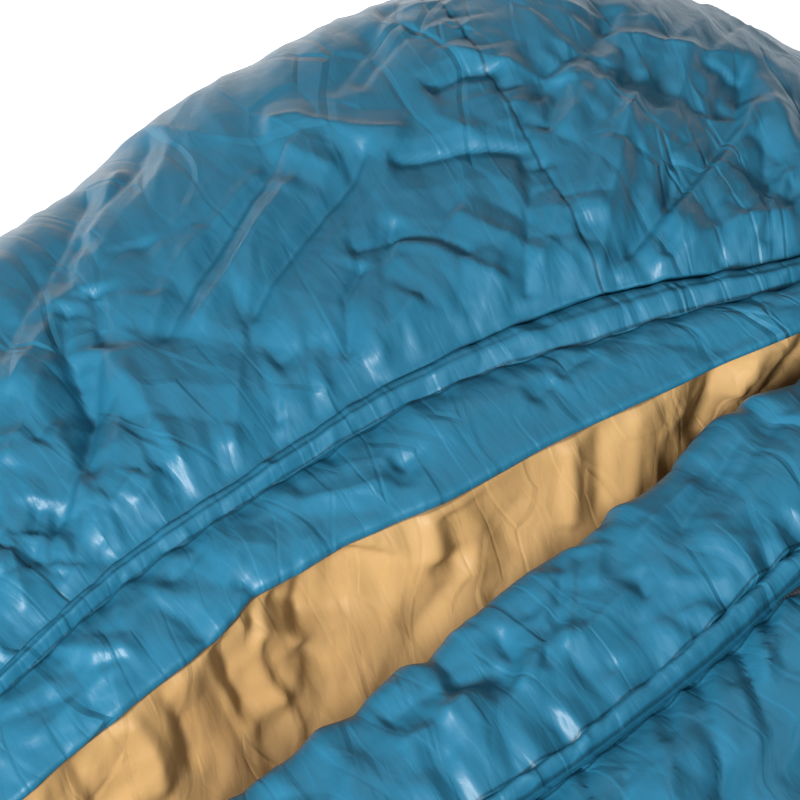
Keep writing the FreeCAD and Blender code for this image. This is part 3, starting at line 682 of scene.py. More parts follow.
# seam distance in plan, signed
SL = np.minimum(np.abs(np.arange(NU) - i_sl), 400)[:, None] * np.linalg.norm(top[i_sl + 1] - top[i_sl], axis=1)[None]
SR = np.minimum(np.abs(np.arange(NU) - i_sr), 400)[:, None] * np.linalg.norm(top[i_sr + 1] - top[i_sr], axis=1)[None]
seam_d = np.minimum(SL, SR)
h = 2.0 - 0.5 * np.exp(-seam_d / 2.2) * np.clip(V / 25, 0.3, 1) - 7.2 * np.exp(-(V / 7.5) ** 1.5) + 1.2 * np.exp(-((V - 22) / 16) ** 2)
h += 0.8 * noise(NU, NV, 9, 5, 12)
lay = facets(U, V, [(3.6, 60, 170, 0.3, True), (2.2, 34, 130, -0.3, False), (1.4, 17, 96, 0.5, True), (0.6, 8, 60, 0.2, False)], 500)
calm = 1 - 0.5 * np.exp(-((X - 20) / 60) ** 2 - ((Y - 190) / 40) ** 2) - 0.45 * np.exp(-((X - 95) / 30) ** 2 - ((Y - 150) / 60) ** 2)
h += lay * calm * np.clip(0.35 + V / 40, 0, 1)
# main creases, in plan: amplitude, widths on each side, line
HERO = [
    (-2.4, 4, 7, [(34, 231), (16, 219), (-2, 213), (-23, 201), (-38, 185)]),
    (-2.4, 4, 6, [(5, 228), (-19, 210), (-33, 201), (-54, 187), (-72, 172)]),
    (1.6, 4, 5, [(17, 226), (-2, 213), (-17, 202)]),
    (-2.6, 4, 7, [(60, 189), (40, 179), (13, 167), (-4, 158), (-30, 144)]),
    (1.8, 4, 6, [(49, 186), (4, 172), (-8, 165), (-29, 149)]),
    (-3.4, 4, 6, [(82, 173), (65, 162), (39, 152), (21, 144), (-2, 131)]),
    (2.2, 9, 4, [(53, 176), (29, 164), (11, 155), (-3, 149), (-19, 145)]),
    (2.4, 4, 12, [(57, 203), (68, 196), (78, 180), (84, 173), (96, 165)]),
    (1.6, 4, 4, [(57, 188), (60, 178), (65, 168)]),
    (-2.0, 3, 5, [(46, 137), (57, 134), (68, 138)]),
    (-2.4, 3, 4, [(48, 130), (34, 120), (27, 109), (19, 99)]),
    (-1.4, 5, 8, [(-1, 114), (13, 113), (21, 109)]),
    (-1.2, 6, 9, [(-1, 188), (-8, 173), (-16, 165)]),
    (-2.6, 4, 4, [(-26, 183), (-35, 166), (-41, 157)]),
    (-1.6, 4, 7, [(129, 224), (110, 211), (88, 200), (81, 194)]),
    (-1.3, 4, 6, [(126, 206), (104, 200), (90, 193)]),
    (-3.2, 4, 6, [(-37, 184), (-50, 165), (-55, 151), (-61, 135)]),
    (2.4, 9, 5, [(-39, 157), (-41, 150), (-44, 127), (-48, 95)]),
    (1.8, 4, 6, [(-39, 182), (-57, 172), (-78, 160)]),
    (-2.6, 4, 6, [(188, 176), (180, 170), (161, 163), (148, 162), (139, 156), (133, 150)]),
    (-2.0, 3, 5, [(150, 155), (129, 138)]),
    (-2.6, 3, 6, [(108, 179), (123, 178), (138, 171)]),
    (-3.0, 3, 6, [(78, 161), (92, 154), (104, 149), (115, 141), (124, 134)]),
    (-1.6, 3, 4, [(113, 132), (123, 127)]),
    (1.8, 6, 6, [(161, 146), (147, 141), (131, 136)]),
    (2.0, 6, 6, [(169, 135), (145, 123), (129, 110), (115, 98)]),
    (1.9, 6, 6, [(175, 127), (152, 114), (135, 106), (116, 96)]),
    (-4.6, 4, 9, [(213, 137), (202, 124), (187, 109), (169, 100), (146, 91), (130, 85), (116, 81), (108, 79)]),
    (3.0, 6, 5, [(203, 118), (190, 105), (171, 96), (153, 89), (132, 81)]),
    (-2.6, 4, 5, [(203, 133), (195, 127), (185, 115)]),
    (-1.8, 5, 9, [(164, 149), (176, 137), (181, 124), (183, 110)]),
    (-1.8, 4, 7, [(189, 104), (191, 80)]),
    (-1.8, 4, 6, [(177, 96), (181, 76), (183, 68)]),
    (-1.4, 4, 5, [(163, 83), (167, 72)]),
    (2.2, 5, 8, [(124, 71), (145, 73), (162, 73), (182, 66)]),
    (2.6, 4, 6, [(58, 132), (70, 118), (76, 102), (84, 88)]),
    (-2.0, 3, 4, [(59, 135), (72, 122), (79, 107)]),
    (1.9, 4, 6, [(83, 129), (88, 115), (94, 105), (98, 91)]),
    (-3.0, 4, 5, [(-50, 165), (-54, 150), (-58, 139), (-72, 124), (-85, 114), (-100, 106)]),
    (-2.8, 4, 4, [(-41, 157), (-55, 142), (-70, 124), (-74, 112)]),
    (-1.8, 4, 5, [(-81, 139), (-64, 147), (-52, 159)]),
    (2.0, 4, 6, [(-94, 138), (-73, 151), (-53, 167)]),
    (-2.0, 3, 4, [(-92, 121), (-102, 111)]),
    (-2.0, 3, 4, [(-88, 117), (-104, 97)]),
    (-2.0, 3, 4, [(-84, 110), (-98, 92)]),
    (1.8, 3, 4, [(-76, 101), (-61, 107)]),
    (1.8, 3, 4, [(-69, 97), (-54, 103)]),
    (1.8, 5, 5, [(54, 106), (40, 101), (24, 92)]),
]
for A, w1, w2, line in HERO:
    crease(h, X, Y, line, A * 1.45, w1 * 1.25, w2 * 1.25, 0.1, 0.15)
scatter(h, U, V, 60, 21, (0, 640, 15, 250), math.pi / 2 - 0.3, 0.5, (40, 130), (2, 5), (0.4, 1.3))
scatter(h, U, V, 26, 22, (0, 640, 10, 230), 0.0, 0.6, (20, 80), (2, 5), (0.4, 1.0))
scatter(h, U, V, 90, 24, (0, 235, 10, 250), math.pi / 2 - 0.35, 0.3, (40, 130), (2.2, 5), (0.7, 2.0))
scatter(h, U, V, 60, 25, (400, 640, 10, 250), math.pi / 2 + 0.3, 0.5, (30, 100), (2.2, 5), (0.6, 1.8))
gathers(h, U, V, 31, 2, 638, 3.0, 1, (5, 12), (14, 60), (0.5, 1.4), (1.4, 2.6), 0.3, lean=0.3)
gathers(h, U, V, 32, 2, 638, 6.0, 1, (16, 34), (60, 130), (1.0, 2.4), (2.0, 4.5), 0.3, lean=0.35)
for us, sd in ((u_sl, 41), (u_sr, 42)):
    for w_ in (-1, 1):
        gathers(h, V, U, sd + w_, 8, 250, us, w_, (6, 13), (7, 22), (0.5, 1.2), (1.6, 2.6), 0.45)
h *= smoothstep((V[0, -1] - V) / 14)
lock = (np.array(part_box("hood_lock_barrel")[0]) + np.array(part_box("hood_lock_barrel")[1])) * 500
near = np.exp(-(np.linalg.norm(top - lock, axis=2) / 18) ** 4)
h = h * (1 - near) - 1.5 * near
w = edge_weights(NU, NV)
w[i_sl] *= 0.2
w[i_sr] *= 0.2
hoodP = drape(top, Ntop, h, w, slack=0.002, steps=8)
tick("hood cloth")
for name, i0, i1 in (("hood_shell_left", 0, i_sl + 1), ("hood_shell_centre", i_sl, i_sr + 1), ("hood_shell_right", i_sr, NU)):
    P2, (u2, v2, d2) = tuck(hoodP[i0:i1], Ntop[i0:i1], [U[i0:i1], V[i0:i1], seam_d[i0:i1]], v0=5.0)
    ob = mesh(name, P2, uv=np.dstack([u2, v2]), extra=d2, flip=flip, subdiv=0, material=BLUE)
    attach(ob, "hood")

# ------------------------------------------------------------------------------------------------ hood channel
nu, nv = n4(640, 1.35), 13
P = strip(hood_l1, hood_l2, nu, nv, "hood")
N, flip_c = upward(P, normals(P), P - np.array([0, NY + 60, 40]))
u = np.linspace(0, 640, nu)[:, None] + np.zeros((nu, nv))
v = np.linspace(0, 11.5, nv)[None] + np.zeros((nu, nv))
arch = np.sin(np.clip(v / 11.5, 0, 1) * math.pi) ** 0.6
h = -6.6 + 6.4 * arch * (1 + 0.2 * noise(nu, nv, 22, 2, 51)) + 0.5 * noise(nu, nv, 60, 3, 52)
h += 0.8 * np.exp(-((v - 4.6 + 1.2 * noise(nu, nv, 30, 2, 54)) / 1.3) ** 2) - 0.7 * np.exp(-((v - 6.6) / 1.1) ** 2)
gathers(h, u, v, 55, 1, 639, 0.0, 1, (6, 15), (6, 16), (0.4, 1.5), (1.4, 3.0), 0.7, lean=0.6)
gathers(h, u, v, 56, 1, 639, 11.5, -1, (6, 15), (6, 14), (0.4, 1.5), (1.4, 3.0), 0.7, lean=-0.6)
h = np.minimum(h, 1.6)
h *= 1.0
h[:, 0], h[:, -1] = -3.8, -6.2
P2 = drape(P, N, h, edge_weights(nu, nv), slack=0.004, steps=6, limit=1.2)
P2, (u, v) = tuck(P2, N, [u, v], 4.0, 4.0)
channel = mesh("hood_channel", P2, uv=np.dstack([u, v]), extra=np.minimum(v, 11.5 - v) - 0.5, flip=flip_c, subdiv=1, material=BLUE)
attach(channel, "hood")

# ------------------------------------------------------------------------------------------------ hood rim, lip and lining face


def lip_frame(edge, inner, kind, nu, n_sm=24):
    """Points along an edge with the surface's normal and the direction off the edge, both smoothed."""
    e = resample(edge, nu)
    i = resample(inner, nu)
    y = i[:, 1] + 0.86 * (e[:, 1] - i[:, 1])
    th = i[:, 3] + 0.86 * (e[:, 3] - i[:, 3])
    back = surf(th, y, kind)
    out = unit(e[:, :3] - back)
    t = unit(np.gradient(e[:, :3], axis=0))
    n = unit(np.cross(t, out))
    n *= np.sign((n * (e[:, :3] - np.array([0, NY, 40]))).sum(1))[:, None]

    def soft(a):
        k = np.exp(-0.5 * (np.arange(-n_sm, n_sm + 1) / (n_sm / 2)) ** 2)
        k /= k.sum()
        return unit(np.stack([np.convolve(np.pad(a[:, c], n_sm, mode="edge"), k, "valid") for c in range(3)], 1))
    return e, soft(n), soft(out)


LIP = 2.2
lean = math.radians(22.5)
nu = n4(620, 2.0)
shift = smooth_interp(XS, np.array(HOOD_EDGE) + 3.6 * np.exp(-(np.array(XS) / 250.0) ** 6), 3.0)
edge_in = surface_line(shift, "hood")
nv = 21
P = strip(edge_in, hood_l1, nu, nv, "hood")
e, n, out = lip_frame(edge_in, hood_l1, "hood", nu)
phi = np.radians(np.array([128, 112, 96, 80, 64, 48, 32, 16]))
lip = e[:, None, :3] - LIP * n[:, None] + LIP * (n[:, None] * np.cos(phi)[None, :, None] + out[:, None] * np.sin(phi)[None, :, None])
P = np.concatenate([lip, P], 1)
nv = P.shape[1]
N, flip_r = upward(P, normals(P), np.concatenate([lip - (e[:, None, :3] - LIP * n[:, None]), P[:, 8:] - np.array([0, NY + 60, 40])], 1))
u = np.linspace(0, 620, nu)[:, None] + np.zeros((nu, nv))
v = np.r_[np.linspace(-8, -1, 8), np.linspace(0, 31, nv - 8)][None] + np.zeros((nu, nv))
h = 1.2 - 4.4 * np.exp(-((31 - v) / 5.0) ** 1.5) + 1.2 * np.exp(-((v - 16) / 9) ** 2) + 0.9 * noise(nu, nv, 16, 4, 61)
h += 0.8 * noise(nu, nv, 7, 3, 62) * np.exp(-((v + 2) / 12) ** 2)
soft_x = np.interp(u, [0, 300, 350, 620], [1.0, 1.0, 0.35, 0.5])
h += facets(u, v, [(2.6, 32, 60, 0.7, True), (1.7, 17, 50, -0.6, False), (0.9, 9, 36, 1.0, True)], 560) * soft_x
gathers(h, u, v, 63, 1, 619, 31.5, -1, (6, 13), (9, 26), (0.6, 1.7), (1.8, 3.2), 0.5)
left = lambda x0, y0: float(np.interp(x0, [0, 300, 350, 620], [1.0, 1.0, 0.45, 0.5]))
scatter(h, u, v, 50, 64, (0, 620, 4, 28), math.pi / 2, 1.0, (12, 34), (2.5, 5), (0.5, 1.5), where=left)
scatter(h, u, v, 40, 65, (0, 620, 2, 28), 0.0, 0.5, (24, 70), (2, 5), (0.4, 1.2), where=left)
RIM = [
    (-2.4, 3, 5, [(-59, 56), (-57, 43), (-65, 29)]), (-2.6, 3, 5, [(-87, 65), (-81, 51), (-81, 37)]), (2.2, 4, 5, [(-122, 75), (-112, 59), (-97, 49)]),
    (-2.2, 3, 5, [(-123, 73), (-116, 56), (-99, 49)]), (-2.0, 3, 4, [(-110, 65), (-101, 72), (-93, 80)]), (2.0, 3, 4, [(-109, 66), (-99, 76)]),
    (-2.2, 3, 4, [(-81, 68), (-73, 67), (-60, 71)]), (-2.2, 3, 4, [(9, 61), (12, 54), (5, 49)]), (2.0, 3, 4, [(-25, 66), (-10, 58), (7, 53)]),
    (-1.8, 3, 4, [(8, 59), (22, 56)]), (-2.0, 3, 4, [(72, 54), (81, 56), (92, 56)]), (-2.0, 3, 4, [(60, 52), (72, 54)]),
    (1.6, 4, 5, [(-150, 47), (-122, 51), (-98, 50)]), (-1.8, 3, 5, [(-152, 61), (-135, 56), (-122, 51)]), (-2.0, 3, 4, [(-121, 64), (-123, 47), (-126, 40)]),
]
for A, w1, w2, line in RIM:
    crease(h, P[:, :, 0], P[:, :, 1] - NY, line, A * 1.2, w1, w2, 0.15, 0.25)
h *= np.clip((v + 8) / 6, 0.0, 1)
P2 = drape(P, N, h, edge_weights(nu, nv), slack=0.002, steps=8, limit=1.6)
P2, (u, v) = tuck(P2, N, [u, v], 0, 5.0)
rim = mesh("hood_rim", P2, uv=np.dstack([u, v]), extra=31.0 - v - 0.8, flip=flip_r, subdiv=1, material=BLUE)
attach(rim, "hood")

# the tan lining turns over the padded rim, down its face, then back into the hood
nu = n4(600, 2.2)
e, n, out = lip_frame(edge_in, hood_l1, "hood", nu)
c = e[:, :3] - LIP * n
start = c + (LIP - 0.8) * (n * math.cos(math.radians(86)) + out * math.sin(math.radians(86)))
mid = np.stack([0 * c[:, 0], np.full(nu, NY + 6.0), np.full(nu, CHEEK_Z + 4.0)], 1)
down = np.stack([-0.55 * np.sign(c[:, 0]) * (np.abs(c[:, 0]) / 266) ** 5, 0 * c[:, 0] - math.sin(lean), 0 * c[:, 0] - math.cos(lean)], 1)
down[:, 1] *= 1 - 1.25 * smoothstep((c[:, 0] - 72) / 66) - 0.35 * smoothstep((-c[:, 0] - 80) / 60)
down[:, 1:] *= (1 - 0.75 * (np.abs(c[:, 0:1]) / 266) ** 8)
down = unit(down)
reach = np.interp(c[:, 2], [72, 84, 110, 150, 170], [3, 8, 30, 68, 74]) * (1 - 0.35 * smoothstep((c[:, 0] - 80) / 50))
face = []
for s in np.linspace(0, 1, 35):
    face.append(start + down * (reach * s)[:, None] + np.array([0, -1.0, 0.4]) * (2.2 * math.sin(s * math.pi)))
tip = face[-1]
inward = np.array([0, 1.0, 0.0])
for phi in np.radians(np.arange(15, 181, 15)):
    r = np.minimum(9.0, reach * 0.3)[:, None]
    face.append(tip + r * inward * (1 - math.cos(phi)) + r * down * math.sin(phi))
tip = face[-1]
for s in (6, 14, 24, 36, 50, 66):
    face.append(tip - down * (0.3 * s * np.minimum(1, reach / 40))[:, None] + inward * s * 0.9)
P = np.stack(face, 1)
nv = P.shape[1]
N, flip_f = upward(P, normals(P), np.zeros_like(P) + np.array([0, -1.0, 0.3]))
u = np.linspace(0, 600, nu)[:, None] + np.zeros((nu, nv))
v = np.r_[0, np.cumsum(np.linalg.norm(np.diff(P[nu // 2], axis=0), axis=1))][None] + np.zeros((nu, nv))
h = 1.6 * noise(nu, nv, 15, 4, 71)
X = P[:, :, 0]
h += facets(X, v, [(3.0, 40, 70, 0.12, True), (2.0, 24, 50, -0.4, False), (1.0, 13, 30, 0.5, True), (0.4, 6, 16, 0.2, True)], 600) * np.interp(X, [-60, -20, 60, 100], [1.25, 0.5, 0.5, 1.1])
FACE = [  # in x and distance down the face
    (4.2, 7, 5, [(-67, -4), (-63, 16), (-64, 34), (-58, 52)]),
    (-4.0, 5, 8, [(-76, 2), (-74, 20), (-72, 44)]),
    (-2.6, 4, 6, [(-52, 4), (-44, 16), (-47, 30), (-40, 48)]),
    (2.6, 4, 5, [(-62, 12), (-50, 20), (-45, 32)]),
    (-5.0, 6, 14, [(-30, -4), (-38, 8), (-48, 26)]),
    (-3.0, 8, 12, [(-22, 2), (-30, 16), (-34, 30)]),
    (3.2, 3, 9, [(9, -2), (7, 10), (6, 24)]),
    (-2.4, 4, 9, [(14, 4), (13, 20), (10, 32)]),
    (3.0, 7, 8, [(66, -4), (60, 16), (52, 44)]),
    (-2.8, 5, 8, [(76, -2), (71, 18), (63, 44)]),
    (2.4, 6, 8, [(92, -4), (84, 20), (74, 46)]),
    (-4.2, 6, 9, [(128, -4), (124, 14), (112, 44)]),
    (3.4, 7, 7, [(140, -4), (134, 18), (124, 44)]),
    (-3.4, 6, 10, [(160, -4), (152, 20), (140, 46)]),
    (-3.0, 5, 8, [(-104, -4), (-98, 18), (-100, 46)]),
    (3.0, 6, 7, [(-118, -4), (-112, 18), (-114, 46)]),
    (-3.0, 6, 8, [(-140, -4), (-136, 18), (-134, 46)]),
]
for A, w1, w2, line in FACE:
    crease(h, X, v, line, A * 1.5, w1 * 1.2, w2 * 1.2, 0.05, 0.25)
scatter(h, X, v, 60, 73, (-250, 250, 5, 75), math.pi / 2, 0.6, (18, 60), (3, 7), (0.5, 1.8))
h = h * smoothstep(v / 6) * smoothstep((v[0, -1] - v) / 10) - 0.6 * np.exp(-v / 3)
P2 = drape(P, N, h, edge_weights(nu, nv), slack=0.002, steps=8, limit=2.0)
face_ob = mesh("hood_lining_face", P2, extra=v - 1.6, flip=flip_f, subdiv=1, material=GOLD)
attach(face_ob, "hood")
flat, area_ = cut(P2)
tick("hood rim and face")

# ------------------------------------------------------------------------------------------------ neck rim and channel
ROLL = 10.0
nu = n4(640, 2.0)
shift = smooth_interp(XN, np.array(NECK_EDGE) - 5.5 * np.exp(-(np.array(XN) / 255.0) ** 8))
edge_in = surface_line(shift, "body")
P = strip(edge_in, neck_n1, nu, 25, "body")
e, n, out = lip_frame(edge_in, neck_n1, "body", nu)
roll = (3.0 + (ROLL - 3.0) * smoothstep((e[:, 2] - 74) / 50))[:, None, None]
phi = np.radians(np.arange(168, 8, -14.0))
lip = e[:, None, :3] - roll * n[:, None] + roll * (n[:, None] * np.cos(phi)[None, :, None] + out[:, None] * np.sin(phi)[None, :, None])
nl = len(phi)
P = np.concatenate([lip, P], 1)
nv = P.shape[1]
N, flip_n = upward(P, normals(P), np.concatenate([lip - (e[:, None, :3] - roll * n[:, None]), P[:, nl:] - np.array([0, NY - 60, 40])], 1))
u = np.linspace(0, 640, nu)[:, None] + np.zeros((nu, nv))
v = np.r_[np.linspace(-27, -2, nl), np.linspace(0, 49, nv - nl)][None] + np.zeros((nu, nv))
h = 1.6 - 6.0 * np.exp(-((49 - v) / 6.5) ** 1.5) + 3.2 * np.exp(-((v - 20) / 15) ** 2) + 1.1 * noise(nu, nv, 14, 4, 81)
h += facets(u, v, [(3.0, 36, 80, 0.7, True), (2.0, 19, 66, 0.4, False), (1.0, 10, 44, 0.8, True)], 640) * np.clip((v + 27) / 12, 0, 1)
gathers(h, u, v, 83, 1, 639, 49.5, -1, (6, 13), (12, 40), (0.9, 2.6), (2.2, 4.0), 0.4)
scatter(h, u, v, 90, 84, (0, 640, -14, 44), math.pi / 2 + 0.5, 0.6, (18, 50), (2.2, 4.5), (0.5, 1.7))
scatter(h, u, v, 34, 85, (0, 640, -10, 40), 0.1, 0.4, (30, 90), (3, 6), (0.4, 1.3))
ROLLS = [
    (-2.6, 3, 5, [(42, -2), (31, -15), (15, -32)]), (3.0, 4, 4, [(37, -3), (23, -21), (12, -34), (5, -40)]), (-2.4, 3, 4, [(35, -2), (20, -19), (12, -29)]),
    (2.2, 4, 5, [(30, -4), (14, -18), (7, -23)]), (2.4, 3, 7, [(47, -5), (33, -21)]), (2.6, 4, 5, [(46, -29), (33, -31), (22, -33), (13, -37)]),
    (-2.2, 3, 4, [(49, -23), (46, -32), (47, -35)]), (2.0, 4, 5, [(75, -46), (62, -37), (51, -31)]), (-2.0, 5, 6, [(70, -48), (59, -42), (45, -39), (28, -38)]),
    (-3.2, 4, 5, [(0, -10), (-3, -24), (-12, -37)]), (2.8, 4, 6, [(-38, -32), (-26, -30), (-17, -29)]), (-3.0, 6, 8, [(-29, -20), (-17, -24), (-6, -27)]),
    (2.6, 4, 5, [(-10, -36), (6, -28)]), (-2.0, 3, 4, [(6, -30), (3, -37)]), (-1.8, 3, 4, [(21, -44), (21, -48)]), (2.0, 5, 6, [(-54, -31), (-39, -33)]),
    (-2.2, 4, 6, [(-53, -18), (-40, -18), (-30, -21)]), (-1.6, 3, 4, [(-9, -54), (-3, -52)]), (2.0, 4, 6, [(89, -5), (68, -10), (48, -15)]),
    (-2.0, 4, 6, [(110, 1), (84, -11), (61, -25)]), (-2.0, 4, 5, [(125, 0), (100, -12), (74, -25)]),
]
for A, w1, w2, line in ROLLS:
    crease(h, P[:, :, 0], P[:, :, 1] - NY, line, A * 1.35, w1, w2, 0.15, 0.25)
h *= np.clip((v + 27) / 8, 0.0, 1)
P2 = drape(P, N, h, edge_weights(nu, nv), slack=0.002, steps=8, limit=2.2)
P2, (u, v) = tuck(P2, N, [u, v], 0, 5.0)
neck_rim = mesh("neck_rim", P2, uv=np.dstack([u, v]), extra=49.0 - v - 0.8, flip=flip_n, subdiv=1, material=BLUE)
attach(neck_rim, "quilt")

nu, nv = n4(700, 1.35), 13
P = strip(neck_n2, neck_n1, nu, nv, "body")
N, flip_c = upward(P, normals(P), P - np.array([0, NY - 60, 40]))
u = np.linspace(0, 700, nu)[:, None] + np.zeros((nu, nv))
v = np.linspace(0, 9.5, nv)[None] + np.zeros((nu, nv))
arch = np.sin(np.clip(v / 9.5, 0, 1) * math.pi) ** 0.6
h = -6.0 + 6.4 * arch * (1 + 0.2 * noise(nu, nv, 24, 2, 91)) + 0.5 * noise(nu, nv, 60, 3, 92)
gathers(h, u, v, 93, 1, 699, 0.0, 1, (5, 13), (5, 14), (0.4, 1.5), (1.3, 2.8), 0.7, lean=0.5)
gathers(h, u, v, 94, 1, 699, 9.5, -1, (5, 13), (5, 13), (0.4, 1.5), (1.3, 2.8), 0.7, lean=-0.5)
h = np.minimum(h, 1.8)
h[:, 0], h[:, -1] = -5.4, -6.0
P2 = drape(P, N, h, edge_weights(nu, nv), slack=0.004, steps=6, limit=1.2)
P2, (u, v) = tuck(P2, N, [u, v], 4.0, 4.0)
neck_channel = mesh("neck_channel", P2, uv=np.dstack([u, v]), extra=np.minimum(v, 9.5 - v) - 0.5, flip=flip_c, subdiv=1, material=BLUE)
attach(neck_channel, "quilt")
tick("neck rim")

# ------------------------------------------------------------------------------------------------ body chambers
SLOT_W = 170.0


def slot_half(y):
    """Half width of the pad opening at y."""
    wide = np.interp(y, [-925, -430, -380, 640, 654], [12, 12, SLOT_W, SLOT_W, 0.0])
    return wide


def section(y, n=500):
    """Outline of the tube at y, from the opening's left edge over the top to its right edge, as x, z."""
    a, hh = plan(y)
    xs = float(slot_half(y))
    t = np.linspace(0, math.pi / 2, 40)[1:]
    left = np.column_stack([-(a - CORNER) - CORNER * np.sin(t), CORNER - CORNER * np.cos(t)])
    th = np.linspace(math.pi, 0, n)[1:-1]
    ce, se = np.sign(np.cos(th)) * np.abs(np.cos(th)) ** (2 / EXP), np.sin(th) ** (2 / EXP)
    crown = np.column_stack([a * ce, CORNER + (hh - CORNER) * se])
    half = np.vstack([[-xs, 0.0], [-(a - CORNER), 0.0], left])
    return np.vstack([half, crown, (half * [-1, 1])[::-1]])


def along(line, shares):
    d = np.r_[0, np.cumsum(np.linalg.norm(np.diff(line, axis=0), axis=1))]
    return np.stack([np.interp(shares * d[-1], d, line[:, k]) for k in range(line.shape[1])], 1)


class Tube:
    """Sections of the body at many y, each with the same number of evenly spaced points."""

    def __init__(self, y0, y1, ns, step=3.0):
        self.y = np.linspace(y0, y1, max(int((y1 - y0) / step), 2) + 1)
        shares = np.linspace(0, 1, ns) if np.isscalar(ns) else ns
        self.s = np.stack([along(section(y), shares) for y in self.y])
        self.ns = len(shares)

    def at(self, yy):
        """yy: ns by m array of y. Returns the points."""
        out = np.empty(yy.shape + (3,))
        for i in range(self.ns):
            out[i, :, 0] = np.interp(yy[i], self.y, self.s[:, i, 0])
            out[i, :, 2] = np.interp(yy[i], self.y, self.s[:, i, 1])
        out[:, :, 1] = yy
        return out


n2_y = lambda x: np.interp(x, neck_n2[:, 0], neck_n2[:, 1])


def chamber(k):
    hi_y, lo_y = seam_y[k - 1], seam_y[k]
    cell_u, cell_v = (2.5, 2.3) if k == 1 else ((3.6, 3.4) if k == 2 else (5.0, 4.4))
    ring = float(np.linalg.norm(np.diff(section((hi_y + lo_y) / 2), axis=0), axis=1).sum())
    nu, nv = n4(ring, cell_u), n4(abs(hi_y - lo_y), cell_v)
    shares = np.linspace(0, 1, nu)
    if k == 1:                                   # finer where the gathers are tightest
        x = np.linspace(0, 1, 2000)
        dense = 1 / np.where(np.abs(x - 0.53) < 0.135, 1.45, 4.2)
        c = np.r_[0, np.cumsum((dense[1:] + dense[:-1]) / 2)]
        nu, nv = 4 * int(c[-1] / 1999 * ring / 4) + 1, n4(abs(hi_y - lo_y), 1.9)
        shares = np.interp(np.linspace(0, 1, nu), c / c[-1], x)
    T = Tube(lo_y - 1, hi_y + 16, shares)
    yhi = np.full(nu, hi_y)
    if k == 1:
        p = T.at(np.full((nu, 1), hi_y))[:, 0]
        onto = smoothstep((p[:, 2] - 60) / 14)
        yhi = hi_y * (1 - onto) + n2_y(p[:, 0]) * onto
    t = np.linspace(0, 1, nv)[None]
    base = T.at(yhi[:, None] * (1 - t) + lo_y * t)
    N, flip = upward(base, normals(base))
    N = unit(np.dstack([blur(N[:, :, c], 3) for c in range(3)]))
    u = (shares * ring)[:, None] + np.zeros((nu, nv))
    v = (yhi[:, None] - base[:, :, 1])
    Lv = (yhi - lo_y)[:, None] + np.zeros((nu, nv))
    d = np.minimum(v, Lv - v)
    under = smoothstep((8 - base[:, :, 2]) / 8)
    h = (3.0 - 9.0 * np.exp(-(d / 13.0) ** 1.1)) + 1.2 * noise(nu, nv, ring / 75, 3, 100 + k)
    h += facets(u, v, [(4.2, 52, 130, 0.15, True), (3.0, 32, 95, -0.35, False), (1.8, 19, 70, 0.45, True), (0.9, 10, 44, 0.1, False)], 700 + 40 * k) * np.clip(0.3 + d / 30, 0, 1)
    if k == 1:
        gathers(h, u, v, 200, 0, ring, 1.0, 1, (4.5, 9), (30, 90), (1.2, 3.2), (1.8, 3.4), 0.16, lean=-0.42)
        gathers(h, u, v, 199, 0, ring, 16.0, 1, (9, 16), (30, 90), (0.8, 2.2), (2.2, 4.0), 0.2, lean=-0.4)
        h -= 3.0 * np.exp(-v / 16)
    else:
        gathers(h, u, v, 200 + k, 0, ring, 2.0, 1, (12, 24), (26, 78), (1.1, 2.6), (4, 7), 0.25)
    gathers(h, u, v, 230 + k, 0, ring, float(abs(hi_y - lo_y)) + 2.0, -1, (12, 24), (24, 66), (1.0, 2.4), (4, 7), 0.25)
    m = 150 if k == 1 else 90
    scatter(h, u, v, m, 260 + k, (0, ring, 10, 165), math.pi / 2, 0.6, (30, 95), (3, 7) if k == 1 else (5, 9), (0.6, 1.9))
    scatter(h, u, v, m // 2, 290 + k, (0, ring, 10, 165), 0.0, 0.5, (30, 90), (3.5, 7) if k == 1 else (5, 9), (0.5, 1.5))
    h = h * (1 - 0.75 * under) - 1.0 * under
    h = np.clip(h, -8.5, 8.0)
    w = edge_weights(nu, nv)
    P2 = drape(base, N, h, w, slack=0.002, steps=8)
    P2[:, :, 2] = np.maximum(P2[:, :, 2], 0.25)
    P2, (u, v, d) = tuck(P2, N, [u, v, d], 4.0, 4.0)
    ob = mesh("body_shell_%d" % k, P2, uv=np.dstack([u, v]), extra=d - 1.4, flip=flip, subdiv=0 if k == 1 else 1, material=BLUE)
    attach(ob, "quilt")
    return ob


chambers = [chamber(k) for k in range(1, 10)]
tick("chambers")

# ------------------------------------------------------------------------------------------------ lower hood and underside
nu = n4(640, 3.6)
Ol = resample(outline, nu)
t2 = np.gradient(Ol[:, :2], axis=0)
inn = unit(np.stack([t2[:, 1], -t2[:, 0]], 1))
inn *= np.sign(((np.array([0, NY + 60]) - Ol[:, :2]) * inn).sum(1))[:, None]
zb = np.interp(np.arange(nu), np.arange(nu), Ol[:, 3]) * 0.35
rb = np.minimum(CORNER, 0.75 * (Ol[:, 2] - zb))
rows = []
for t in np.linspace(0, math.pi / 2, 30):
    xy = Ol[:, :2] + inn * (rb * (1 - math.cos(t)))[:, None]
    rows.append(np.column_stack([xy, Ol[:, 2] - (Ol[:, 2] - zb) * math.sin(t)]))
last = rows[-1]
spine = np.column_stack([last[:, 0] * 0.0, np.clip(last[:, 1], NY + 50, NY + 150), np.full(nu, 1.2)])
for t in np.linspace(0, 1, 22)[1:]:
    rows.append(last * (1 - t) + spine * t)
P = np.stack(rows, 1)
nv = P.shape[1]
N, flip = upward(P, normals(P), P - np.array([0, NY + 90, 60]))
N = unit(np.dstack([blur(N[:, :, c], 2) for c in range(3)]))
u = np.linspace(0, 640, nu)[:, None] + np.zeros((nu, nv))
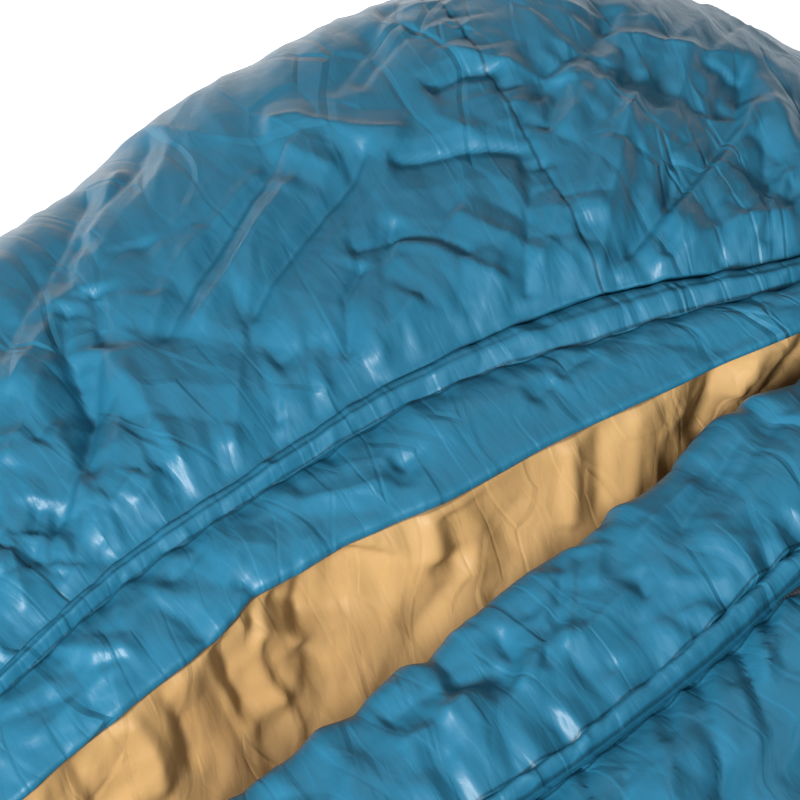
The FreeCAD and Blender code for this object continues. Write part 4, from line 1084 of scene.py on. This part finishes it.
v = np.r_[0, np.cumsum(np.linalg.norm(np.diff(P[nu // 2], axis=0), axis=1))][None] + np.zeros((nu, nv))
h = facets(u, v, [(3.0, 46, 90, 0.15, True), (2.0, 28, 60, -0.4, False), (1.2, 18, 40, 0.5, True)], 900) + 1.2 * noise(nu, nv, 12, 4, 901)
flat = smoothstep((10 - P[:, :, 2]) / 10)
h = h * smoothstep(v / 12) * (1 - 0.8 * flat) - 0.8 * flat
P2 = drape(P, N, h, edge_weights(nu, nv))
P2[:, :, 2] = np.maximum(P2[:, :, 2], 0.3)
hood_low = mesh("hood_shell_lower", P2, extra=v * 0 + 99, flip=flip, subdiv=1, material=BLUE)
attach(hood_low, "hood")
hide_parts("hood_shell", "hood_rim_fill", "hood_fill_left", "hood_fill_right", "hood_fill_centre", "hood_baffle_walls")
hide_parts("hood_cord_tunnel")
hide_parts("neck_cord_tunnel")

# the hood's inside
Pi = top[::4, ::4] - Ntop[::4, ::4] * 42.5
nu, nv = Pi.shape[:2]
u, v = U[::4, ::4], V[::4, ::4]
h = facets(u, v, [(3.0, 46, 90, 0.15, True), (2.0, 28, 60, -0.4, False), (1.2, 18, 40, 0.5, True)], 930)
Pi = drape(Pi, -Ntop[::4, ::4], np.clip(h, -1, 3), edge_weights(nu, nv, 0, 0, 0, 0))
d_in = np.minimum(np.abs(u - u_sl), np.abs(u - u_sr))
lin_top = mesh("hood_lining_roof", Pi, uv=np.dstack([u, v]), extra=d_in, flip=not FLIP_DOME, subdiv=1, material=GOLD)
Pl = P2[::2, ::2].copy()
Nl = N[::2, ::2]
Pl = Pl - Nl * np.interp(Pl[:, :, 2:3], [0, 12, 60], [28, 34, 42])
Pl[:, :, 2] = np.maximum(Pl[:, :, 2], 28.6)
h = np.clip(facets(Pl[:, :, 0], Pl[:, :, 1], [(3.0, 46, 90, 0.15, True), (2.0, 28, 60, -0.4, False)], 940), 0, 4)
Pl = Pl - Nl * h[..., None]
lin_low = mesh("hood_lining_floor", Pl, extra=Pl[:, :, 0] * 0 + 99, flip=not flip, subdiv=1, material=GOLD)
for ob in (lin_top, lin_low):
    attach(ob, "hood")
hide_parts("hood_lining")
for ob, grid in ((lin_top, Pi), (lin_low, Pl)):
    flat, area_ = cut(grid)

# ------------------------------------------------------------------------------------------------ cheeks and yoke, from the neck to the hood
ny = n4(NY + 50 - seam_y[0], 3.0)
ys = np.linspace(seam_y[0], NY + 50, ny)


def cheek_section(y, n=181):
    a = plan(y)[0] if y <= NY else HOOD_HALF_W * float(hood_f(y)[0])
    s = np.linspace(0, math.pi / 2, 40)
    arc = np.column_stack([(a - CORNER) + CORNER * np.sin(s), CORNER - CORNER * np.cos(s)])
    up = np.column_stack([np.full(6, a - 0.3), np.linspace(62, 76, 6)])
    up[:, 0] = a * (1 - np.clip((up[:, 1] - 60) / 110, 0, 1) ** EXP) ** (1 / EXP) - 0.8
    right = np.vstack([[[0, 0]], arc, up])
    return along(np.vstack([(right * [-1, 1])[::-1][:-1], right]), np.linspace(0, 1, n))


P = np.empty((261, ny, 3))
for j, y in enumerate(ys):
    c = cheek_section(y, 261)
    P[:, j] = np.column_stack([c[:, 0], np.full(261, y), c[:, 1]])
nu, nv = P.shape[:2]
N, flip = upward(P, normals(P))
u = np.linspace(0, 760, nu)[:, None] + np.zeros((nu, nv))
v = np.linspace(0, NY + 50 - seam_y[0], nv)[None] + np.zeros((nu, nv))
h = facets(u, v, [(2.8, 40, 60, 0.2, True), (1.8, 24, 44, -0.4, False), (1.0, 14, 30, 0.5, True)], 960)
d = np.minimum(v, v[0, -1] - v)
h -= 4.0 * np.exp(-v / 9) + 2.2 * np.exp(-np.abs(v - 66) / 5)
flat = smoothstep((8 - P[:, :, 2]) / 8)
h = h * (1 - 0.8 * flat) - 0.8 * flat
h *= np.clip((v[0, -1] - v) / 10, 0, 1)
P2 = drape(P, N, np.clip(h, -7, 5), edge_weights(nu, nv))
P2[:, :, 2] = np.maximum(P2[:, :, 2], 0.3)
yoke = mesh("neck_yoke_shell", P2, extra=np.minimum(v - 1.2, np.abs(v - 66)), flip=flip, subdiv=1, material=BLUE)
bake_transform(yoke)
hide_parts("neck_yoke_fill")
# its lining, which closes the corners of the face opening from inside
Pj = (P - N * 9.0)[::2, ::2]
Pj[:, :, 2] = np.maximum(Pj[:, :, 2], 7.0)
lift = []
for dz in (24.0, 16.0, 8.0):
    lift.append(np.array([0, 0, dz]))
first = np.stack([Pj[0] + q + [0.02 * q[2] ** 1.5, 0, 0] for q in lift])
last_ = np.stack([Pj[-1] + q - [0.02 * q[2] ** 1.5, 0, 0] for q in lift[::-1]])
Pj = np.concatenate([first, Pj, last_], 0)
yoke_in = mesh("neck_yoke_lining", Pj, extra=Pj[:, :, 0] * 0 + 99, flip=not flip, subdiv=1, material=GOLD)
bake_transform(yoke_in)
flat, area_ = cut(Pj)

# ------------------------------------------------------------------------------------------------ foot
nu = 321
ys = np.r_[np.linspace(seam_y[9], FOOT_Y + 14, 24)]
rings = []
for y in ys:
    a, hh = plan(y)
    s = section(min(y, seam_y[9]), 300)
    full = np.vstack([s, [[0, 0]]]) * [a / plan(seam_y[9])[0], hh / plan(seam_y[9])[1]]
    rings.append(np.insert(along(full, np.linspace(0, 1, nu)), 1, y, axis=1))
end = rings[-1]
c = np.array([0, FOOT_Y, 66.0])
for t in np.linspace(0, 1, 26)[1:]:
    q = (1 - t)
    ring_ = c + (end - c) * q
    ring_[:, 1] = FOOT_Y + 14 - 20 * math.sqrt(1 - q ** 2.2)
    rings.append(ring_)
P = np.stack(rings, 1)[:-1]
nu, nv = P.shape[:2]
N = normals(P)
N, flip = upward(P, N, P - np.array([0, FOOT_Y + 60, 66]))
u = np.linspace(0, 1100, nu)[:, None] + np.zeros((nu, nv))
v = np.r_[0, np.cumsum(np.linalg.norm(np.diff(P[nu // 2], axis=0), axis=1))][None] + np.zeros((nu, nv))
h = facets(P[:, :, 0] + 0.3 * P[:, :, 1], P[:, :, 2] + P[:, :, 1], [(3.4, 50, 90, 0.2, True), (2.2, 30, 50, -0.5, False), (1.2, 18, 40, 0.6, True)], 980)
ringy = np.exp(-np.abs(v - 75) / 5)
h = h - 5.5 * np.exp(-v / 12) - 3.0 * ringy
gathers(h, u, v, 981, 0, 1100, 2.0, 1, (12, 24), (20, 50), (1.0, 2.4), (3, 6), 0.25)
gathers(h, u, v, 982, 0, 1100, 75.0, 1, (10, 20), (16, 44), (0.8, 2.0), (3, 5), 0.25)
flat = smoothstep((8 - P[:, :, 2]) / 8)
h = h * (1 - 0.8 * flat) - 0.8 * flat
P2 = drape(P, N, np.clip(h, -7, 5), edge_weights(nu, nv, 0, 0, 1, 1))
P2[:, :, 2] = np.maximum(P2[:, :, 2], 0.3)
foot = mesh("foot_panel", P2, uv=np.dstack([u, v]), extra=np.minimum(v - 1.4, np.abs(v - 75)), closed=True, flip=flip, subdiv=1, material=BLUE)
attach(foot, "quilt")
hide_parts("foot_shell", "foot_fill")
for k, ob in enumerate(chambers):
    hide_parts("fill_chamber_%d" % (k + 1))
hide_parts("body_shell", "baffle_walls")
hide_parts("neck_rim_fill")

# ------------------------------------------------------------------------------------------------ body lining, tan, inside the tube


def inner_section(y, n=300):
    a, hh = plan(y)
    s = section(y, n)
    xs = float(slot_half(y))
    a2, h2 = a - 42.8, hh - 42.8
    th = np.linspace(math.pi, 0, n)[1:-1]
    r = 32.0
    zf = 28.6
    ce, se = np.sign(np.cos(th)) * np.abs(np.cos(th)) ** (2 / EXP), np.sin(th) ** (2 / EXP)
    crown = np.column_stack([a2 * ce, zf + r + (h2 - zf - r) * se])
    t = np.linspace(0, math.pi / 2, 20)[1:]
    left = np.column_stack([-(a2 - r) - r * np.sin(t), zf + r - r * np.cos(t)])
    half = np.vstack([[-xs - 0.4, 3.0], [-xs - 0.6, zf - 3], [-xs - 3, zf], [-(a2 - r), zf], left])
    return np.vstack([half, crown, (half * [-1, 1])[::-1]])


ys = np.linspace(NY - 12, seam_y[9] + 2, 241)
ns = 257
P = np.stack([np.insert(along(inner_section(y), np.linspace(0, 1, ns)), 1, y, axis=1) for y in ys], 1)
N, fl = upward(P, normals(P))
u = np.linspace(0, 1250, ns)[:, None] + np.zeros(P.shape[:2])
v = (NY - P[:, :, 1])
ds = np.min(np.abs(P[:, :, 1][..., None] - np.array(seam_y)[None, None]), axis=2)
h = facets(u, v, [(3.4, 60, 120, 0.1, True), (2.4, 36, 80, -0.35, False), (1.4, 22, 50, 0.5, True)], 990) - 5.0 * (1 - np.exp(-ds / 26)) + 3.0
gathers(h, u, v, 991, 0, 1250, 60.0, 1, (14, 26), (26, 70), (1.0, 2.4), (4, 7), 0.25)
inside = smoothstep(u / 40) * smoothstep((1250 - u) / 40)
P2 = P + N * (np.clip(h, -6, 5) * inside)[..., None]
lining = mesh("body_lining_cloth", P2, uv=np.dstack([u, v]), extra=ds, flip=not fl, subdiv=0, material=GOLD)
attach(lining, "quilt")
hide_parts("body_lining")
flat, area_ = cut(P2)
# tan end wall at the foot
nu = 121
s = along(np.vstack([inner_section(seam_y[9] + 2), inner_section(seam_y[9] + 2)[:1]]), np.linspace(0, 1, nu))
P = np.stack([np.column_stack([s[:, 0] * q, np.full(nu, seam_y[9] + 1.5 - 2.0 * (1 - q)), 66 + (s[:, 1] - 66) * q]) for q in np.linspace(1.02, 0.01, 30)], 1)[:-1]
h = facets(P[:, :, 0], P[:, :, 2], [(2.4, 40, 60, 0.2, True), (1.4, 22, 40, -0.5, False)], 995)
P[:, :, 1] += np.clip(h, -2, 3) * 0.6
endwall = mesh("foot_lining_cloth", P, closed=True, subdiv=1, material=GOLD)
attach(endwall, "quilt")
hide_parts("foot_lining")
flat = (float(np.ptp(P[:, 0, 0])) / 1000, float(np.ptp(P[:, 0, 2])) / 1000)
r0, r1 = P[:, 0], np.roll(P[:, 0], -1, axis=0)
area_ = abs(float((r0[:, 0] * r1[:, 2] - r1[:, 0] * r0[:, 2]).sum())) / 2e6
CUTS.append((round(flat[0], 3), round(flat[1], 3), round(area_, 3)))

# neck's inner face: the lining turns over the neck roll and goes down inside
nu = n4(560, 3.0)
e, n, out = lip_frame(edge_in, neck_n1, "body", nu)
roll = (3.0 + (ROLL - 3.0) * smoothstep((e[:, 2] - 74) / 50))[:, None]
c = e[:, :3] - roll * n
start = c + (roll - 1.0) * (-n * 0.94 + out * 0.34)
reach = np.interp(c[:, 2], [64, 84, 110, 150], [2, 6, 16, 24])
face = [c + (roll - 1.2) * (n * math.cos(p) + out * math.sin(p)) for p in np.radians([118, 134, 150, 164])]
face += [start + np.array([0, 0, -1.0]) * (reach * s)[:, None] for s in np.linspace(0.05, 1, 10)]
tip = face[-1]
r = np.minimum(8.0, reach * 0.4)[:, None]
face += [tip + r * np.array([0, -1.0, 0]) * (1 - math.cos(p)) + r * np.array([0, 0, -1.0]) * math.sin(p) for p in np.radians(np.arange(20, 181, 20))]
face += [face[-1] + np.array([0, -1.0, 0.25]) * s for s in (8, 18, 30, 44, 58)]
P = np.stack(face, 1)
nv = P.shape[1]
N, flip = upward(P, normals(P), np.zeros_like(P) + np.array([0, 1.0, 0.3]))
v = np.r_[0, np.cumsum(np.linalg.norm(np.diff(P[nu // 2], axis=0), axis=1))][None] + np.zeros((nu, nv))
h = facets(P[:, :, 0], v, [(2.0, 34, 60, 0.12, True), (1.2, 20, 50, -0.4, False)], 997) * smoothstep(v / 10)
P2 = P + N * np.clip(h, -2, 2)[..., None]
neck_face = mesh("neck_lining_face", P2, extra=v - 1.6, flip=flip, subdiv=1, material=GOLD)
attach(neck_face, "quilt")
flat, area_ = cut(P2)
# the neck roll, its lining face and the hood's lining face get mesh data of their own
for ob, keep in ((neck_rim, 0.76), (neck_face, 0.76)):
    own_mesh(ob)
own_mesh(face_ob)
tick("linings and foot")

STRAPS = []
# ------------------------------------------------------------------------------------------------ small materials


def solid_material(name, color, color2, rough, metal=0.0, bump=0.2, scale=400.0, size=0.0001, spec=0.5):
    """Moulded or metal part: uneven colour and a fine surface grain."""
    m, t, b = new_material(name)
    co = node(t, "ShaderNodeTexCoord")
    n1 = node(t, "ShaderNodeTexNoise", i_Scale=scale * 0.12, i_Detail=4.0)
    n2 = node(t, "ShaderNodeTexNoise", i_Scale=scale * 3, i_Detail=6.0, i_Roughness=0.7)
    for n_ in (n1, n2):
        t.links.new(co.outputs["Object"], n_.inputs["Vector"])
    t.links.new(ramp(t, n1.outputs["Fac"], [(0.35, color), (0.65, color2)]), b.inputs["Base Color"])
    t.links.new(math_node(t, "ADD", rough - 0.08, math_node(t, "MULTIPLY", n2.outputs["Fac"], 0.16)), b.inputs["Roughness"])
    b.inputs["Metallic"].default_value = metal
    b.inputs["Specular IOR Level"].default_value = spec
    bp = node(t, "ShaderNodeBump", i_Strength=bump, i_Distance=size)
    t.links.new(n2.outputs["Fac"], bp.inputs["Height"])
    t.links.new(bp.outputs[0], b.inputs["Normal"])
    return m


def ribbed_material(name, color, color2, pitch_u, pitch_v, rough=0.7, depth=0.0003):
    """Woven tape or webbing: ribs across and along, from the cloth coordinate in mm."""
    m, t, b = new_material(name)
    at = node(t, "ShaderNodeAttribute", attribute_name="cloth")
    sep = node(t, "ShaderNodeSeparateXYZ")
    t.links.new(at.outputs["Vector"], sep.inputs[0])
    su = math_node(t, "SINE", math_node(t, "MULTIPLY", sep.outputs[0], 2 * math.pi / pitch_u))
    sv = math_node(t, "SINE", math_node(t, "MULTIPLY", sep.outputs[1], 2 * math.pi / pitch_v))
    hh = math_node(t, "MULTIPLY", math_node(t, "ADD", math_node(t, "MULTIPLY", su, sv), math_node(t, "MULTIPLY", sv, 0.6)), 0.5)
    co = node(t, "ShaderNodeTexCoord")
    n1 = node(t, "ShaderNodeTexNoise", i_Scale=60.0, i_Detail=6.0)
    t.links.new(co.outputs["Object"], n1.inputs["Vector"])
    mixf = math_node(t, "ADD", math_node(t, "MULTIPLY", hh, 0.25), n1.outputs["Fac"])
    t.links.new(ramp(t, mixf, [(0.3, color), (0.7, color2)]), b.inputs["Base Color"])
    t.links.new(math_node(t, "ADD", rough - 0.08, math_node(t, "MULTIPLY", n1.outputs["Fac"], 0.16)), b.inputs["Roughness"])
    b.inputs["Specular IOR Level"].default_value = 0.3
    bp = node(t, "ShaderNodeBump", i_Strength=0.6, i_Distance=depth)
    t.links.new(hh, bp.inputs["Height"])
    t.links.new(bp.outputs[0], b.inputs["Normal"])
    return m


PLASTIC = solid_material("black_acetal", (0.012, 0.012, 0.013), (0.020, 0.020, 0.022), 0.42)
METAL = solid_material("zip_metal", (0.30, 0.30, 0.31), (0.42, 0.42, 0.43), 0.32, metal=1.0)
SPRING = solid_material("spring_steel", (0.45, 0.45, 0.46), (0.60, 0.60, 0.61), 0.25, metal=1.0)
EYELET = solid_material("eyelet_brass", (0.10, 0.10, 0.11), (0.16, 0.16, 0.17), 0.30, metal=1.0)
WEBBING = ribbed_material("black_webbing", (0.010, 0.011, 0.013), (0.024, 0.026, 0.030), 1.6, 2.4)
TAPE = ribbed_material("zip_tape_weave", (0.008, 0.045, 0.080), (0.014, 0.070, 0.115), 0.9, 1.2, depth=0.00015)
BIND = ribbed_material("binding_weave", (0.007, 0.040, 0.075), (0.012, 0.060, 0.105), 1.2, 1.6, depth=0.0002)
BRAID = ribbed_material("cord_braid", (0.010, 0.012, 0.015), (0.030, 0.034, 0.040), 1.3, 1.3, depth=0.0002)
COIL = solid_material("coil_nylon", (0.010, 0.055, 0.095), (0.016, 0.080, 0.130), 0.38)
for name, ob in frame["nodes"].items():
    m = None
    if name.endswith(("_lock_barrel", "_lock_plunger", "_cord_end", "_buckle_socket", "_buckle_plug")):
        m = PLASTIC
    elif name.endswith("_lock_spring"):
        m = SPRING
    elif name.endswith("_cord_eyelet"):
        m = EYELET
    elif name in ("zip_slider", "zip_pull", "zip_bottom_stop", "zip_top_stops"):
        m = METAL
    if m:
        ob.data.materials.clear()
        ob.data.materials.append(m)


# ------------------------------------------------------------------------------------------------ tapes, webbing, coil, cords
def ribbon(name, path, side, up, width, thick, material, body, cell=2.0, wave=0.0, seed=1, edge=None):
    """A woven band with rounded edges swept along a path; the distance to stitch rows near its edges goes into its
    cloth attribute.
    """
    path = resample(np.asarray(path, float), max(int(np.linalg.norm(np.diff(path, axis=0), axis=1).sum() / cell), 4) + 1)
    n = len(path)
    side, up = np.broadcast_to(side, (n, 3)), np.broadcast_to(up, (n, 3))
    w, t = width / 2, thick / 2
    prof = [(-w, 0), (-w + t * 0.4, t * 0.8), (-w + t, t), (-0.6 * w, t), (-0.2 * w, t), (0.2 * w, t), (0.6 * w, t), (w - t, t), (w - t * 0.4, t * 0.8),
            (w, 0), (w - t * 0.4, -t * 0.8), (w - t, -t), (0.6 * w, -t), (0.2 * w, -t), (-0.2 * w, -t), (-0.6 * w, -t), (-w + t, -t), (-w + t * 0.4, -t * 0.8)]
    prof = np.array(prof)
    r = np.random.default_rng(seed)
    z = wave * np.interp(np.arange(n), np.linspace(0, n - 1, max(n // 9, 3)), r.uniform(-1, 1, max(n // 9, 3)))
    P = path[None] + prof[:, 0][:, None, None] * side[None] + (prof[:, 1][:, None, None] + z[None, :, None]) * up[None]
    s = np.r_[0, np.cumsum(np.linalg.norm(np.diff(path, axis=0), axis=1))]
    uv = np.dstack([prof[:, 0][:, None] + 0 * s[None], s[None] + 0 * prof[:, 0][:, None]])
    flip = float((np.cross(side[0], up[0]) * (path[-1] - path[0])).sum()) > 0
    ob = mesh(name, P, uv=uv, extra=np.abs(w - np.abs(uv[:, :, 0])) - 1.5, closed=True, flip=flip, subdiv=1, material=material)
    caps(ob, P)
    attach(ob, body)
    return ob


def caps(ob, P):
    """Closes both ends of a swept grid."""
    me = ob.data
    import bmesh
    bm = bmesh.new()
    bm.from_mesh(me)
    bm.verts.ensure_lookup_table()
    nu, nv = P.shape[:2]
    for j in (0, nv - 1):
        try:
            bm.faces.new([bm.verts[i * nv + j] for i in range(nu)])
        except ValueError:
            pass
    bmesh.ops.recalc_face_normals(bm, faces=bm.faces)
    bm.to_mesh(me)
    bm.free()


def sweep(name, line, radius, material, body, sides=8, pitch=None, subdiv=0):
    """A round cord or wire along a line."""
    line = np.asarray(line, float)
    t = unit(np.gradient(line, axis=0))
    ref = np.array([0, 0, 1.0]) if abs(t[0, 2]) < 0.8 else np.array([1.0, 0, 0])
    n = np.empty_like(t)
    prev = unit(np.cross(t[0], ref))
    for i in range(len(t)):
        prev = unit(prev - t[i] * np.dot(prev, t[i]))
        n[i] = prev
    b = np.cross(t, n)
    a = np.linspace(0, 2 * math.pi, sides, endpoint=False)
    s = np.r_[0, np.cumsum(np.linalg.norm(np.diff(line, axis=0), axis=1))]
    rr = np.full((sides, len(line)), radius)
    if pitch:                                    # braid
        rr = radius * (1 + 0.07 * np.sin(2 * math.pi * s[None] / pitch + 2 * a[:, None]) * np.sin(2 * math.pi * s[None] / pitch - 2 * a[:, None]))
    P = line[None] + rr[..., None] * (np.cos(a)[:, None, None] * n[None] + np.sin(a)[:, None, None] * b[None])
    uv = np.dstack([a[:, None] * radius + 0 * s[None], s[None] + 0 * a[:, None]])
    ob = mesh(name, P, uv=uv, extra=uv[:, :, 0] * 0 + 99, closed=True, subdiv=subdiv, material=material)
    caps(ob, P)
    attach(ob, body)
    return ob


def mm(node_name):
    a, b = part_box(node_name)
    return np.array(a) * 1000, np.array(b) * 1000


for name, sgn in (("edge_binding_left", -1), ("edge_binding_right", 1)):
    a, b = mm(name)
    x, z = (a[0] + b[0]) / 2, (a[2] + b[2]) / 2
    ob = ribbon(name + "_tape", [(x, a[1], z + 0.4), (x, b[1], z + 0.4)], (0, 0, 1.0), (1.0, 0, 0), b[2] - a[2] - 0.4, 1.6, BIND, "quilt", cell=4.0, wave=0.45, seed=5 + sgn)
    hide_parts(name)
for name, sgn in (("zip_tape_left", -1), ("zip_tape_right", 1)):
    a, b = mm(name)
    ob = ribbon(name + "_cloth", [((a[0] + b[0]) / 2, a[1], (a[2] + b[2]) / 2), ((a[0] + b[0]) / 2, b[1], (a[2] + b[2]) / 2)], (1.0, 0, 0), (0, 0, 1.0), b[0] - a[0], 0.8, TAPE, "quilt", cell=4.0, wave=0.08, seed=15 + sgn)
    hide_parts(name)
a, b = mm("zip_coil")
zc = (a[2] + b[2]) / 2
s = np.arange(0, (b[1] - a[1] - 2) / 1.5 * 2 * math.pi, 2 * math.pi / 9)
for sgn in (-1, 1):
    line = np.column_stack([sgn * 2.2 + 1.15 * np.cos(s) * sgn, a[1] + 1 + s / (2 * math.pi) * 1.5 + (0.75 if sgn > 0 else 0), zc + 0.75 * np.sin(s)])
    line = line[line[:, 1] < b[1] - 0.5]
    sweep("zip_coil_%s" % ("left" if sgn < 0 else "right"), line, 0.34, COIL, "quilt", sides=5)
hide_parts("zip_coil")
for part in ("upper", "lower"):
    for end, body in (("left", "quilt"), ("right", "quilt")):
        name = "%s_strap_%s" % (part, end)
        a, b = mm(name)
        y, z = (a[1] + b[1]) / 2, (a[2] + b[2]) / 2
        ob = ribbon(name + "_web", [(a[0], y, z), (b[0], y, z)], (0, 1.0, 0), (0, 0, 1.0), b[1] - a[1], 1.6, WEBBING, body, cell=2.5, wave=0.15, seed=31)
        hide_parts(name)
        if end == "right":
            STRAPS.append((ob, part, b[0]))

for part in ("hood", "neck"):
    a, b = mm(part + "_lock_spring")
    wire, turns = 0.45, 5.5
    r, zz = (b[0] - a[0]) / 2 - wire, np.linspace(a[2] + wire, b[2] - wire, 200)
    ph = np.linspace(0, turns * 2 * math.pi, 200)
    ob = sweep(part + "_lock_spring_wire", np.column_stack([(a[0] + b[0]) / 2 + r * np.cos(ph), (a[1] + b[1]) / 2 + r * np.sin(ph), zz]), wire, SPRING, "hood" if part == "hood" else "quilt", sides=8)
    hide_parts(part + "_lock_spring")
    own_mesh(ob)
for ob, part, x in STRAPS:
    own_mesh(ob)

# drawcords: the run inside the channel, then out through the eyelet and the lock to the cord end
for part, line, other, kind, body, depth in (("hood", hood_l1, hood_l2, "hood", "hood", 4.5), ("neck", neck_n2, neck_n1, "body", "quilt", 4.5)):
    V_ = np.array([v.co for v in frame["nodes"][part + "_drawcord"].data.vertices]) * 1000
    left = V_[V_[:, 0].argsort()]
    x0 = left[0, 0]
    end = left[left[:, 0] < x0 + 0.5].mean(0)
    # centre line of the cord from its own solid, by slices
    xs = np.r_[np.arange(x0 + 1.0, -236, 6.0)]
    ctr = [end]
    run = V_[(V_[:, 2] > 84)]
    order = np.arctan2(run[:, 2] - 40, -run[:, 0])
    bins = np.linspace(order.min(), order.max(), 60)
    which = np.digitize(order, bins)
    mids = np.array([run[which == k].mean(0) for k in range(1, 61) if (which == k).sum() > 3])
    lk = mm(part + "_lock_barrel")
    ax = (lk[0] + lk[1]) / 2
    low = V_[(V_[:, 2] < 84) & (V_[:, 0] > 0)].mean(0)
    turn = np.array([mids[0][0] - 1.0, end[1], end[2]])
    mids = mids - 4.2 * unit(mids - np.array([0, NY + (30 if part == "hood" else -30), 40]))
    line3 = np.vstack([end, [ax[0], end[1], end[2]], turn + [-6, 0, 0], turn + [0, 0, 5], mids])
    fine = resample(line3, 520)
    for _ in range(6):
        fine[1:-1] = (fine[:-2] + 2 * fine[1:-1] + fine[2:]) / 4
    ob = sweep(part + "_drawcord_braid", fine, 1.5, BRAID, body, sides=10, pitch=2.6)
    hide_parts(part + "_drawcord")
tick("hardware")

# ------------------------------------------------------------------------------------------------ stage, lights, camera
def stage_and_camera():
    me = bpy.data.meshes.new("floor")
    s = 9.0
    me.from_pydata([(-s, -s, 0), (s, -s, 0), (s, s, 0), (-s, s, 0)], [], [(0, 1, 2, 3)])
    floor = bpy.data.objects.new("floor", me)
    bpy.context.scene.collection.objects.link(floor)
    m, t, b = new_material("floor_white")
    b.inputs["Base Color"].default_value = (0.97, 0.97, 0.97, 1)
    b.inputs["Emission Color"].default_value = (1, 1, 1, 1)
    b.inputs["Emission Strength"].default_value = 0.85
    b.inputs["Roughness"].default_value = 0.9
    b.inputs["Specular IOR Level"].default_value = 0.1
    me.materials.append(m)
    sc = bpy.context.scene
    world = bpy.data.worlds.new("studio")
    sc.world = world
    world.use_nodes = True
    world.node_tree.nodes["Background"].inputs[0].default_value = (1, 1, 1, 1)
    world.node_tree.nodes["Background"].inputs[1].default_value = 0.20

    def area(name, loc, size, power, aim):
        l = bpy.data.lights.new(name, "AREA")
        l.shape = "RECTANGLE"
        l.size, l.size_y = size
        l.energy = power
        o = bpy.data.objects.new(name, l)
        bpy.context.scene.collection.objects.link(o)
        o.location = loc
        o.rotation_mode = "QUATERNION"
        o.rotation_quaternion = (Vector(aim) - Vector(loc)).to_track_quat("-Z", "Y")
        o.visible_camera = False
    head = Vector((0, NY / 1000, 0.12))
    area("key", (-2.4, -0.2, 2.1), (0.7, 0.7), 222, head)
    area("fill", (0.9, 2.3, 2.3), (1.6, 1.6), 8, (0.1, 1.2, 0.0))
    area("foot", (-0.5, -2.4, 3.0), (2.6, 2.6), 48, (0, -0.5, 0.1))
    cam = bpy.data.cameras.new("camera")
    co = bpy.data.objects.new("camera", cam)
    bpy.context.scene.collection.objects.link(co)
    cam.sensor_width = 36
    cam.lens = 700
    a, e = math.radians(-36), math.radians(60)
    back = Vector((math.sin(a) * math.cos(e), -math.cos(a) * math.cos(e), math.sin(e)))
    aim = Vector((0.0265, (NY + 80) / 1000, 0.165))
    co.location = aim + back * (0.2667 / 2 / (18 / 700))
    co.rotation_mode = "QUATERNION"
    co.rotation_quaternion = (-back).to_track_quat("-Z", "Y")
    cam.clip_start, cam.clip_end = 0.05, 50
    sc.camera = co
    sc.view_settings.view_transform = "Standard"


stage_and_camera()
tick("end")
